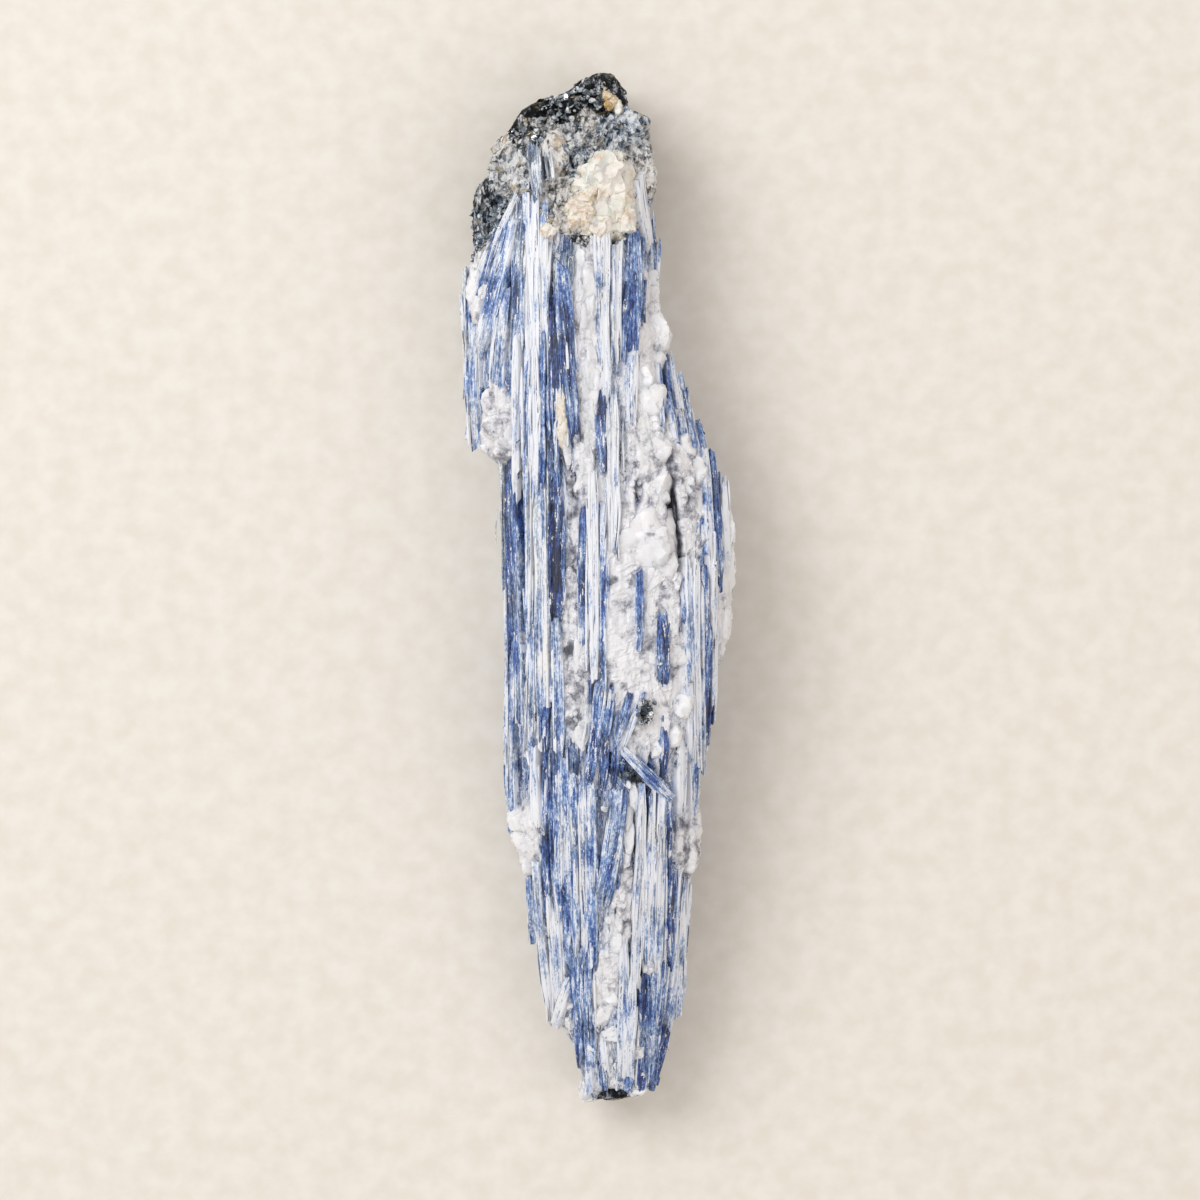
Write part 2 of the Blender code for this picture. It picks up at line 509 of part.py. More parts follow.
def thin_out(body):
    """Takes out the slivers along the joins, so that the flat faces stay and the count falls."""
    count = len(body.data.loop_triangles) or len(body.data.polygons)
    modifier = body.modifiers.new("thin_out", "DECIMATE")
    modifier.ratio = min(1.0, TRIANGLE_BUDGET / count)
    with bpy.context.temp_override(object=body, active_object=body, selected_objects=[body]):
        bpy.ops.object.modifier_apply(modifier=modifier.name)


for old in list(bpy.data.objects):
    bpy.data.objects.remove(old)

MATERIALS = [kyanite(), quartz(), mica_schist(), feldspar()]
cluster = make_matrix()
combine(cluster, make_rest_blade(), "UNION")
combine(cluster, make_under_blades(), "UNION")
combine(cluster, make_head(), "UNION")
combine(cluster, make_lumps(), "UNION")
combine(cluster, make_blades(), "UNION")
combine(cluster, make_cleft(), "DIFFERENCE")
combine(cluster, make_hollows(), "DIFFERENCE")
clean(cluster)
thin_out(cluster)
clean(cluster)
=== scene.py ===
import bpy
import numpy as np
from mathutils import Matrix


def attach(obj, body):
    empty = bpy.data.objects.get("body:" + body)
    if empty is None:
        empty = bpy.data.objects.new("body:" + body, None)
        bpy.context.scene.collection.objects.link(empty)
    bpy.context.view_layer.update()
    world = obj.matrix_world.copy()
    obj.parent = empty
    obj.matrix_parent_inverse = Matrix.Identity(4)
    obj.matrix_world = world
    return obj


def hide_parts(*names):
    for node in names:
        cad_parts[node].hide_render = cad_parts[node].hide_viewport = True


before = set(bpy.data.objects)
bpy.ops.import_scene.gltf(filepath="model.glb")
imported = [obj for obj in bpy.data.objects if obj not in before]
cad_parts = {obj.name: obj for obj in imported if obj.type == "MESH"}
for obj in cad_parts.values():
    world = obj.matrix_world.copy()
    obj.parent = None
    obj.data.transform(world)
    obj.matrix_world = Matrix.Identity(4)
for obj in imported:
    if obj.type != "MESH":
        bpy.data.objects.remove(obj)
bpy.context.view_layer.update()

# Fused body: kyanite and quartz grown into one mass, of which the blades are the clearer part. A closed
# skin is carried along the stone in two lengths and broken into long plates, or into blocks where it is
# quartz. All sizes are millimetres from the photo's middle, and CENTRING moves them to the part's.
MM = 0.001
CENTRING = np.array([-0.15, -0.065, 0.0])
TOP_FULLNESS = 2.5
UNDER_FULLNESS = 3.4
BODY_INSET = 0.85
END_REACH = 77.2
CLEFT_DEPTH = 4.0
CLEFT_HALF_WIDTH = 0.6
# Edges seen from above as y, x
LEFT_EDGE = np.array([
    (77.4, 1.2), (77.0, -1.1), (76.4, -2.8), (75.7, -3.5), (74.9, -3.6), (74.6, -4.8), (73.9, -5.7),
    (73.6, -7.9), (73.3, -8.9), (72.5, -9.5), (71.9, -10.6), (71.4, -11.5), (70.3, -12.3), (69.1, -13.1),
    (68.0, -13.8), (67.7, -14.6), (66.9, -15.4), (65.7, -16.0), (64.8, -15.8), (63.5, -16.4), (62.3, -16.1),
    (61.0, -16.8), (60.2, -17.8), (59.0, -18.4), (57.8, -18.8), (54.9, -19.1), (49.8, -19.1), (43.2, -20.4),
    (36.0, -19.7), (30.6, -19.9), (24.9, -18.8), (21.3, -18.1), (18.8, -15.2), (12.0, -14.5), (1.1, -13.9),
    (-22.5, -13.7), (-34.8, -13.8), (-38.4, -12.7), (-42.5, -11.2), (-49.7, -10.4), (-53.9, -8.6),
    (-60.3, -7.3), (-64.2, -6.4), (-69.8, -3.7), (-73.5, -2.6), (-75.6, -3.1), (-76.8, -2.7), (-77.4, -1.6),
])[::-1]
RIGHT_EDGE = np.array([
    (77.4, 2.0), (76.4, 2.7), (75.8, 3.2), (74.4, 4.0), (72.0, 4.4), (71.3, 5.0), (70.9, 6.2), (70.7, 7.3),
    (70.0, 7.8), (67.7, 8.4), (66.5, 8.1), (65.3, 8.0), (62.0, 8.7), (56.1, 8.2), (48.0, 8.9), (41.4, 9.1),
    (37.8, 11.0), (34.7, 10.2), (31.7, 11.9), (27.8, 13.1), (24.3, 14.9), (20.1, 16.2), (13.1, 19.4),
    (9.0, 20.3), (1.5, 20.4), (-6.5, 19.8), (-12.2, 17.6), (-16.8, 17.6), (-22.5, 16.3), (-27.9, 15.5),
    (-39.3, 15.4), (-42.8, 14.2), (-49.7, 13.4), (-59.6, 12.5), (-66.9, 10.7), (-73.1, 8.8), (-75.9, 6.6),
    (-77.4, 3.0),
])[::-1]
# Heights as y, under side, widest level, upper side
HEIGHTS = np.array([
    (78.0, 5.0, 9.0, 13.0), (72.0, 3.0, 10.0, 18.5), (64.0, 1.8, 10.5, 21.5), (52.0, 1.2, 11.0, 23.5),
    (40.0, 1.0, 11.5, 25.2), (20.0, 0.9, 12.0, 26.6), (0.0, 0.9, 12.0, 26.2), (-20.0, 0.9, 11.5, 25.8),
    (-40.0, 1.0, 10.5, 22.8), (-60.0, 1.8, 9.0, 17.5), (-72.0, 3.2, 8.0, 14.0), (-78.0, 5.0, 7.5, 11.0),
])[::-1]
# Line of the open cleft as x, y
CLEFT = np.array([
    (8.6, 36.6), (9.0, 31.0), (9.0, 24.5), (10.0, 19.5), (10.2, 14.6), (10.8, 8.6), (11.6, 1.2),
    (11.9, -2.0),
])
# Where the head ends and the blades begin, as x, y
HEAD_LINE = np.array([
    (-20.0, 49.5), (-15.5, 50.5), (-13.6, 56.0), (-11.0, 56.8), (-8.0, 54.6), (-5.5, 52.4), (0.0, 51.8),
    (5.4, 52.0), (6.4, 57.5), (9.5, 59.0),
])
# Pits as x, y, half width, half length, depth
PITS = [
    (6.2, -28.0, 1.4, 2.0, 2.8), (1.5, 51.4, 0.8, 0.7, 2.4), (2.2, -76.2, 2.0, 1.2, 4.0),
    (-13.7, 65.2, 0.9, 0.8, 2.2), (0.3, 71.6, 0.9, 0.8, 2.4), (7.6, 57.0, 0.5, 1.4, 2.0),
    (-12.9, 46.2, 0.5, 3.0, 2.2), (-10.8, 8.0, 0.4, 9.0, 2.6), (-11.0, 23.0, 0.3, 8.0, 1.8),
    (7.0, -58.4, 0.55, 2.8, 2.8), (8.3, -57.0, 0.5, 1.5, 2.2), (-6.3, 46.0, 0.4, 2.6, 1.6),
    (5.2, -33.0, 0.5, 3.4, 1.8),
]


def read(table, y, column=1):
    """Column of a table at y: straight lines between its rows."""
    return np.interp(y, table[:, 0], table[:, column])


def chance(at, seed):
    """Fixed random number from 0 to 1 for each whole-numbered point."""
    key = (at[..., 0] * 73856093) ^ (at[..., 1] * 19349663) ^ (at[..., 2] * 83492791) ^ (seed * 7919 + 101)
    key = (((key ^ (key >> 13)) & 0xFFFFFFFF) * 1274126177) & 0xFFFFFFFF
    return (((key ^ (key >> 15)) * 668265263) & 0xFFFFFF) / 16777215.0


def grain(points, size, seed=0):
    """Random swelling from -1 to 1: values on a box lattice of that size, blended by smooth steps."""
    cell = np.asarray(points, float) / np.asarray(size, float) + 13.7 * seed
    low = np.floor(cell).astype(np.int64)
    part = cell - low
    part = part * part * (3.0 - 2.0 * part)
    total = np.zeros(cell.shape[:-1])
    for corner in np.ndindex(2, 2, 2):
        weight = np.prod(np.where(corner, part, 1.0 - part), axis=-1)
        total += (2.0 * chance(low + np.array(corner), seed) - 1.0) * weight
    return total


def shards(points, size, seed=0, tilt=0.9):
    """Broken facets: space is shared out to scattered seeds, the nearest one wins, and each share is a plane
    with its own tilt and level. Gives that height and a random number for each share."""
    cell = np.asarray(points, float) / np.asarray(size, float) + 7.3 * seed
    low = np.floor(cell).astype(np.int64)
    best = np.full(cell.shape[:-1], 9.0)
    height = np.zeros(cell.shape[:-1])
    pick = np.zeros(cell.shape[:-1])
    for corner in np.ndindex(3, 3, 3):
        at = low + np.array(corner) - 1
        middle = at + np.stack([chance(at, seed + k) for k in (1, 2, 3)], axis=-1)
        away = cell - middle
        distance = np.linalg.norm(away, axis=-1)
        lean = np.stack([chance(at, seed + k) for k in (4, 5, 6)], axis=-1) * 2.0 - 1.0
        level = tilt * (lean * away).sum(axis=-1) + chance(at, seed + 7) - 0.5
        nearer = distance < best
        height = np.where(nearer, level, height)
        pick = np.where(nearer, chance(at, seed + 8), pick)
        best = np.minimum(best, distance)
    return height, pick


def ring(y, angle, inset=0.0):
    """Bundle's skin: at y an oval from edge to edge, power 2.5 above its widest level and 3.4 below."""
    left = read(LEFT_EDGE, y) + inset
    right = read(RIGHT_EDGE, y) - inset
    under = read(HEIGHTS, y, 1) + 0.5 * inset
    waist = read(HEIGHTS, y, 2)
    top = read(HEIGHTS, y, 3) - inset
    cosine = np.cos(angle)
    sine = np.sin(angle)
    power = 2.0 / np.where(sine > 0, TOP_FULLNESS, UNDER_FULLNESS)
    across = np.sign(cosine) * np.abs(cosine) ** power
    up = np.abs(sine) ** power
    x = 0.5 * (left + right) + 0.5 * (right - left) * across
    z = waist + np.where(sine > 0, top - waist, under - waist) * up
    return np.stack([x, y + 0.0 * angle, z], axis=-1)


def skin(x, y):
    """Height of the bundle's upper side over x, y."""
    left = read(LEFT_EDGE, y)
    right = read(RIGHT_EDGE, y)
    offset = np.abs(x - 0.5 * (left + right)) / np.maximum(0.5 * (right - left), 0.5)
    waist = read(HEIGHTS, y, 2)
    rise = (1.0 - np.minimum(offset, 0.95) ** TOP_FULLNESS) ** (1.0 / TOP_FULLNESS)
    return waist + (read(HEIGHTS, y, 3) - waist) * rise


def sunk(x, y):
    """Depth below the skin: a bell over each pit and a narrow bell along the cleft's line."""
    depth = np.zeros(np.broadcast(x, y).shape)
    for pit_x, pit_y, half_x, half_y, deep in PITS:
        away = ((x - pit_x) / half_x) ** 2 + ((y - pit_y) / half_y) ** 2
        depth = np.maximum(depth, deep * np.exp(-0.7 * away ** 1.5))
    line = np.interp(y, CLEFT[::-1, 1], CLEFT[::-1, 0])
    inside = np.clip((18.0 - y) / 5.0, 0.2, 1) * np.clip((CLEFT[0, 1] - y) / 4.0, 0, 1)
    inside = inside * np.clip((y - CLEFT[-1, 1]) / 5.0, 0, 1)
    return np.maximum(depth, CLEFT_DEPTH * inside * np.exp(-((x - line) / CLEFT_HALF_WIDTH) ** 2))


def held(points):
    """The points kept inside the outline seen from above, whose edge is a little ragged."""
    y = np.clip(points[..., 1], -END_REACH, END_REACH)
    ragged = 0.35 * grain(points, 0.9, 17) + 0.2 * grain(points, 0.4, 18) + 0.15
    left = read(LEFT_EDGE, y) + ragged
    x = np.clip(points[..., 0], left, np.maximum(read(RIGHT_EDGE, y) - ragged, left))
    return np.stack([x, y, points[..., 2]], axis=-1)


def grid_faces(rows, columns):
    """Quads of a rows by columns grid whose last column is joined to the first."""
    row, column = np.meshgrid(np.arange(rows - 1), np.arange(columns), indexing="ij")
    ahead = (column + 1) % columns
    low = row * columns
    high = (row + 1) * columns
    return np.stack((low + column, low + ahead, high + ahead, high + column), axis=-1).reshape(-1, 4)


def tube(points):
    """Closes a stack of rings with a middle point at each end; gives vertices, quads and end triangles."""
    rows, columns = points.shape[:2]
    vertices = np.concatenate([points.reshape(-1, 3), [points[0].mean(axis=0)], [points[-1].mean(axis=0)]])
    quads = grid_faces(rows, columns)
    around = np.arange(columns)
    ahead = (around + 1) % columns
    first = np.stack([ahead, around, 0 * around + rows * columns], axis=-1)
    end = (rows - 1) * columns
    last = np.stack([around + end, ahead + end, 0 * around + rows * columns + 1], axis=-1)
    return vertices, quads, np.concatenate([first, last])


def put(name, data):
    """New object of that data in the scene."""
    made = bpy.data.objects.new(name, data)
    bpy.context.scene.collection.objects.link(made)
    return made


def piece(name, parts, material, smooth=False, crease=0.6):
    """Joins parts (vertices, quads, triangles, attributes) in millimetres to one object in metres, its faces
    turned outward. An attribute is one value for the whole part or one for each vertex."""
    vertices = []
    faces = []
    columns = {}
    count = 0
    for points, quads, triangles, values in parts:
        corners = points[quads]
        fans = points[triangles]
        volume = np.einsum("ij,ij->i", corners[:, 0], np.cross(corners[:, 1], corners[:, 2])).sum()
        volume += np.einsum("ij,ij->i", corners[:, 0], np.cross(corners[:, 2], corners[:, 3])).sum()
        volume += np.einsum("ij,ij->i", fans[:, 0], np.cross(fans[:, 1], fans[:, 2])).sum()
        turn = 1 if volume > 0 else -1
        vertices.append(points)
        faces += (quads[:, ::turn] + count).tolist()
        faces += (triangles[:, ::turn] + count).tolist()
        for key, value in values.items():
            columns.setdefault(key, []).append(np.broadcast_to(value, points.shape[:1] + np.shape(value)[1:]))
        count += len(points)
    mesh = bpy.data.meshes.new(name)
    mesh.from_pydata(((np.concatenate(vertices) + CENTRING) * MM).tolist(), [], faces)
    for key, value in columns.items():
        joined = np.concatenate(value)
        vector = joined.ndim > 1
        attribute = mesh.attributes.new(key, "FLOAT_VECTOR" if vector else "FLOAT", "POINT")
        attribute.data.foreach_set("vector" if vector else "value", joined.astype(np.float32).ravel())
    if smooth:
        mesh.polygons.foreach_set("use_smooth", [True] * len(mesh.polygons))
        mesh.set_sharp_from_angle(angle=crease)
    mesh.materials.append(material)
    mesh.update()
    made = put(name, mesh)
    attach(made, "root")
    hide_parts("kyanite_cluster")
    return made


def node(tree, kind, inputs=None, **settings):
    """Adds a shader node, sets its options and fills its inputs with values or with other nodes' outputs."""
    made = tree.nodes.new("ShaderNode" + kind)
    for key, value in settings.items():
        setattr(made, key, value)
    for key, value in (inputs or {}).items():
        if isinstance(value, bpy.types.NodeSocket):
            tree.links.new(value, made.inputs[key])
        else:
            made.inputs[key].default_value = value
    return made


def ramp(tree, factor, stops):
    """Colour ramp through (place, red, green, blue) stops, driven by factor."""
    made = node(tree, "ValToRGB", {"Fac": factor})
    elements = made.color_ramp.elements
    while len(elements) < len(stops):
        elements.new(0.5)
    for element, (place, red, green, blue) in zip(elements, stops):
        element.position = place
        element.color = (red, green, blue, 1.0)
    return made.outputs["Color"]


def new_finish(name, **values):
    """Material with a Principled shader whose all-over values are set on its own sockets."""
    material = bpy.data.materials.new(name)
    material.use_nodes = True
    shader = material.node_tree.nodes["Principled BSDF"]
    for key, value in values.items():
        shader.inputs[key.replace("_", " ")].default_value = value
    return material, material.node_tree, shader


def object_mm(tree, stretch=(1.0, 1.0, 1.0)):
    """Object coordinates in millimetres, stretched."""
    place = node(tree, "TexCoord").outputs["Object"]
    scale = tuple(1.0 / MM * s for s in stretch)
    return node(tree, "VectorMath", {0: place, 1: scale}, operation="MULTIPLY").outputs[0]


def dress(tree, shader, colour, rough, low, high, full=1.0):
    """Wires the colour, and a roughness from low to high where the rough value goes from 0 to full."""
    tree.links.new(colour, shader.inputs["Base Color"])
    tree.links.new(between(tree, rough, 0.0, full, low, high), shader.inputs["Roughness"])


def relief(tree, shader, height, strength, distance):
    """Bump of that height in millimetres on the shader."""
    bump = node(tree, "Bump", {"Height": height, "Strength": strength, "Distance": distance * MM})
    tree.links.new(bump.outputs["Normal"], shader.inputs["Normal"])


def noise(tree, place, scale, detail, roughness=0.5, output="Fac"):
    """Noise at a place, with so many features to its unit."""
    inputs = {"Vector": place, "Scale": scale, "Detail": detail, "Roughness": roughness}
    return node(tree, "TexNoise", inputs).outputs[output]


def between(tree, value, low, high, to_low=0.0, to_high=1.0):
    """The value carried from the span low to high onto the span to_low to to_high, held at its ends."""
    inputs = {"Value": value, "From Min": low, "From Max": high, "To Min": to_low, "To Max": to_high}
    return node(tree, "MapRange", inputs).outputs[0]


def streaks(tree, line, across, along, detail):
    """Noise drawn out along the blades: features so many to the millimetre across and along."""
    drawn = node(tree, "VectorMath", {0: line, 1: (across, along, 0.4)}, operation="MULTIPLY").outputs[0]
    return noise(tree, drawn, 1.0, detail)


def sum_of(tree, first, second, scale, shift):
    """first + second * scale + shift."""
    scaled = node(tree, "Math", {0: second, 1: scale, 2: shift}, operation="MULTIPLY_ADD").outputs[0]
    return node(tree, "Math", {0: first, 1: scaled}, operation="ADD").outputs[0]


def total(tree, first, *parts):
    """first and every part's value * scale + shift, added up."""
    for value, scale, shift in parts:
        first = sum_of(tree, first, value, scale, shift)
    return first


def mix(tree, factor, first, second):
    """Blend of two colours."""
    return node(tree, "Mix", {0: factor, 6: first, 7: second}, data_type="RGBA").outputs[2]


def bend(tree, place, scale, detail, reach):
    """The place shifted by noise, up to about half the reach in millimetres."""
    inputs = {0: noise(tree, place, scale, detail, output="Color"), 1: (reach,) * 3, 2: place}
    return node(tree, "VectorMath", inputs, operation="MULTIPLY_ADD").outputs[0]


def cell_pick(tree, place, scale):
    """Random value for each cell, with so many cells to the millimetre."""
    cells = node(tree, "TexVoronoi", {"Vector": place, "Scale": scale}).outputs["Color"]
    return node(tree, "SeparateColor", {0: cells}).outputs[0]


def cell_edge(tree, place, scale):
    """Distance to the nearest border between cells."""
    inputs = {"Vector": place, "Scale": scale}
    return node(tree, "TexVoronoi", inputs, feature="DISTANCE_TO_EDGE").outputs["Distance"]


def value_of(tree, name, output="Fac"):
    """The piece's own attribute of that name."""
    return node(tree, "Attribute", attribute_name=name).outputs[output]


def kyanite_colour(tree):
    """Lengthwise streaks from white through cornflower and royal blue to navy, in patches that run on from
    blade to blade, with thin dark navy lines painted as the shade in the seams between fibres, and white
    cleavage flecks where it is frosty. Gives the colour and a fine height."""
    line = value_of(tree, "streak", "Vector")
    patch = streaks(tree, object_mm(tree), 0.4, 0.12, 3.0)
    broad = streaks(tree, line, 1.3, 0.1, 3.0)
    fine = streaks(tree, line, 4.6, 0.2, 4.0)
    flecks = streaks(tree, line, 2.4, 0.26, 7.0)
    seams = streaks(tree, line, 2.6, 0.08, 3.0)
    hair = streaks(tree, line, 8.5, 0.7, 3.0)
    speck = noise(tree, object_mm(tree, (1.0, 0.55, 1.0)), 2.3, 5.0, 0.7)
    depth = total(
        tree, value_of(tree, "tone"), (patch, 1.4, -0.7), (broad, 1.2, -0.6), (fine, 0.9, -0.45),
        (hair, 0.7, -0.35), (speck, 1.9, -1.07), (value_of(tree, "rim"), -0.1, 0.08),
    )
    blue = ramp(tree, depth, [
        (0.0, 0.80, 0.82, 0.88), (0.14, 0.60, 0.67, 0.82), (0.29, 0.34, 0.45, 0.69),
        (0.43, 0.15, 0.265, 0.53), (0.58, 0.06, 0.14, 0.40), (0.74, 0.022, 0.062, 0.27),
        (0.88, 0.009, 0.024, 0.12), (1.0, 0.005, 0.010, 0.04),
    ])
    dull = ramp(tree, depth, [
        (0.0, 0.80, 0.79, 0.77), (0.25, 0.47, 0.49, 0.52), (0.5, 0.20, 0.25, 0.31), (0.75, 0.055, 0.08, 0.12),
        (1.0, 0.01, 0.014, 0.02),
    ])
    dusty = noise(tree, object_mm(tree, (1.0, 0.3, 1.0)), 0.5, 5.0)
    dusty = sum_of(tree, value_of(tree, "greyness"), dusty, 2.4, -1.1)
    colour = mix(tree, between(tree, dusty, 0.0, 1.0), blue, dull)
    # Painted shade: thin dark navy lines along the blades stand in for the shade in the seams between fibres.
    painted_seam_shade = between(tree, seams, 0.4, 0.35, 0.0, 0.92)
    colour = mix(tree, painted_seam_shade, colour, (0.010, 0.026, 0.08, 1.0))
    flecked = total(
        tree, flecks, (hair, 0.25, -0.125), (speck, 0.8, -0.4), (patch, -0.3, 0.15),
        (value_of(tree, "frost"), 0.22, -0.12),
    )
    fleck = between(tree, flecked, 0.55, 0.585, 0.0, 0.9)
    colour = mix(tree, fleck, colour, (0.83, 0.85, 0.90, 1.0))
    return colour, total(tree, fine, (flecks, 0.8, 0.0), (hair, 0.5, 0.0))


def quartz_colour(tree, warm):
    """Milky white, grey and glassy dark quartz in cloudy blocks with thin healed cracks and a sugary grain.
    Gives the colour and a fine height."""
    place = object_mm(tree)
    bent = bend(tree, place, 0.8, 4.0, 2.4)
    block = cell_pick(tree, bent, 0.42)
    crack = between(tree, cell_edge(tree, bent, 0.8), 0.0, 0.05, 0.22, 0.0)
    cloud = noise(tree, place, 0.42, 5.0, 0.6)
    sugar = noise(tree, place, 3.2, 5.0, 0.75)
    shade = total(
        tree, value_of(tree, "greyness"), (block, 0.45, -0.2), (cloud, 3.0, -1.68), (sugar, 0.6, -0.33),
        (crack, 0.6, 0.0),
    )
    colour = ramp(tree, shade, [
        (0.0, 0.84, 0.84 - 0.02 * warm, 0.88 - 0.08 * warm), (0.26, 0.76, 0.755, 0.80 - 0.06 * warm),
        (0.42, 0.55, 0.55, 0.60), (0.6, 0.35, 0.355, 0.40), (0.82, 0.16, 0.165, 0.20),
        (1.0, 0.08, 0.085, 0.11),
    ])
    return colour, sum_of(tree, sugar, crack, -0.6, 0.0)


def fused_finish():
    """Kyanite and quartz in one mass: each place is one or the other by the quartzy attribute."""
    material, tree, shader = new_finish("fused_stone", IOR=1.6, Coat_Weight=0.1, Coat_Roughness=0.2)
    quartzy = value_of(tree, "quartzy")
    blue, score = kyanite_colour(tree)
    white, sugar = quartz_colour(tree, 0.2)
    dress(tree, shader, mix(tree, quartzy, blue, white), sugar, 0.25, 0.65)
    relief(tree, shader, sum_of(tree, score, sugar, 0.8, 0.0), 0.6, 0.16)
    return material


# Where the mass is quartz, seen from above: x, y, half width, half length, greyness
QUARTZ_ZONES = [
    (6.6, 30.0, 3.4, 18.0, 0.1), (6.5, -4.0, 7.5, 20.0, 0.1), (-1.9, 32.0, 2.2, 20.0, 0.1),
    (-3.2, -5.0, 2.2, 18.0, 0.5), (12.6, 14.0, 3.2, 11.0, 0.3), (-15.2, 24.0, 3.2, 5.5, 0.1),
    (18.9, 0.0, 2.2, 13.0, 0.05), (3.4, -42.0, 1.6, 13.0, 0.3), (1.4, -58.0, 2.3, 4.6, 0.1),
    (-11.2, -37.0, 3.0, 6.0, 0.1), (13.7, -36.0, 2.4, 8.0, 0.4), (-17.6, 45.0, 2.0, 5.0, 0.1),
]
RING_STEP = 0.3
BODY_ROUND = (190, 70)
BODY_CLEARANCE = 0.75
BODY_SPLIT = 4.0
BODY_ENDS = (-76.6, 60.5)


def round_angles(upper, lower):
    """Angles round the section, closer together on the upper side."""
    return np.concatenate([
        np.linspace(0.0, np.pi, upper, endpoint=False),
        np.linspace(np.pi, 2.0 * np.pi, lower, endpoint=False),
    ])[None, :]


def unit(vectors):
    """Vectors at length one."""
    return vectors / np.linalg.norm(vectors, axis=-1, keepdims=True)


def nearest_zone(x, y, zones, *unset):
    """Zones are ovals: x, y, half width, half length and their values. Gives how far away the nearest one is
    for its size, 1 at its edge, and its values, or the unset ones where none is anywhere near."""
    nearest = np.full(x.shape, 99.0)
    found = [np.full(x.shape, value) for value in unset]
    for zone_x, zone_y, half_x, half_y, *values in zones:
        away = ((x - zone_x) / half_x) ** 2 + ((y - zone_y) / half_y) ** 2
        nearer = away < nearest
        found = [np.where(nearer, value, old) for value, old in zip(values, found)]
        nearest = np.minimum(nearest, away)
    return nearest, *found


def outward(points, y):
    """Ways from the section's middle to its skin."""
    middle = np.stack([0.5 * (read(LEFT_EDGE, y) + read(RIGHT_EDGE, y)), y, read(HEIGHTS, y, 2)], axis=-1)
    return unit(points - middle)


def head_side(points):
    """Distance in mm beyond the ragged line where the head begins, less than zero on the blades' side."""
    ragged = 0.9 * grain(points, (1.1, 3.0, 2.0), 8) + 0.4 * grain(points, 0.6, 9)
    return points[..., 1] - np.interp(points[..., 0], HEAD_LINE[:, 0], HEAD_LINE[:, 1]) - ragged


def spread(value):
    """A value for each grid point as one for each vertex of the closed tube."""
    flat = value.reshape(-1, *value.shape[2:])
    return np.concatenate([flat, flat[:1], flat[-1:]])


def body_length(y_low, y_high):
    """Skin of the body between two places: the oval plus long kyanite plates or quartz blocks, less the pits,
    and drawn in where the head covers it. Its tone and greyness are darkened where it sinks and in the pits,
    as painted shade."""
    y = np.linspace(y_low, y_high, int((y_high - y_low) / RING_STEP))[:, None]
    around = round_angles(*BODY_ROUND)
    y = y + 0.0 * around
    shell = ring(y, around, BODY_INSET)
    x = shell[..., 0]
    upper = np.sin(around) > 0
    zone, zone_grey = nearest_zone(x, y, QUARTZ_ZONES, 0.0)
    ragged = 0.5 * grain(shell, (1.0, 5.0, 1.0), 3) + 0.4 * grain(shell, (0.6, 1.6, 0.6), 4)
    quartzy = np.clip((1.0 - zone + ragged) * 3.0 + 0.5, 0.0, 1.0)
    quartzy = quartzy * np.clip(1.5 + 3.0 * np.sin(around), 0.0, 1.0)
    plates, plate = shards(shell, (1.3, 12.0, 1.3), 11)
    slats, slat = shards(shell, (0.55, 6.0, 0.55), 23)
    blocks, block = shards(shell, (2.4, 2.9, 2.4), 37)
    chips, chip = shards(shell, (0.9, 1.1, 0.9), 51)
    long_grain = 0.55 * plates + 0.28 * slats + 0.08 * grain(shell, (0.3, 4.0, 0.3), 5)
    block_grain = 0.6 + 0.34 * blocks + 0.12 * chips + 0.04 * grain(shell, 0.4, 6)
    height = long_grain + (block_grain - long_grain) * quartzy
    height = height - 2.5 * np.clip(head_side(shell) / 1.2, 0.0, 1.0)
    height = height - 0.7 * np.clip(-2.0 * np.sin(around), 0.0, 1.0)
    pit = np.where(upper, sunk(x, y), 0.0)
    shell = shell + outward(shell, y) * height[..., None]
    shell[..., 2] = np.maximum(shell[..., 2] - pit, BODY_CLEARANCE)
    # Painted shade: the tone deepens where the skin sits below its level and in the pits, and the greyness
    # rises in the pits, so the hollows are darker.
    tone = 0.42 + 0.75 * (plate - 0.5) + 0.45 * (slat - 0.5) - 0.3 * np.minimum(height, 0.0) + 0.3 * pit
    quartz_grey = zone_grey + 0.35 * (block - 0.5) + 0.12 * chip - 0.06
    grey = 0.15 + 0.25 * slat * (1.0 - quartzy) + quartzy * quartz_grey + 0.4 * pit
    coordinates = np.stack([x + 0.6 * shell[..., 2] + 40.0 * plate, y + 25.0 * slat, 30.0 * plate], axis=-1)
    return *tube(shell), {
        "tone": np.clip(spread(tone), 0.0, 1.2), "greyness": np.clip(spread(grey), 0.0, 1.0),
        "quartzy": spread(quartzy), "rim": 0.3, "streak": spread(coordinates), "frost": spread(slat),
    }


fused_stone = fused_finish()
piece("body_upper", [body_length(BODY_SPLIT, BODY_ENDS[1])], fused_stone)
piece("body_lower", [body_length(BODY_ENDS[0], BODY_SPLIT)], fused_stone)

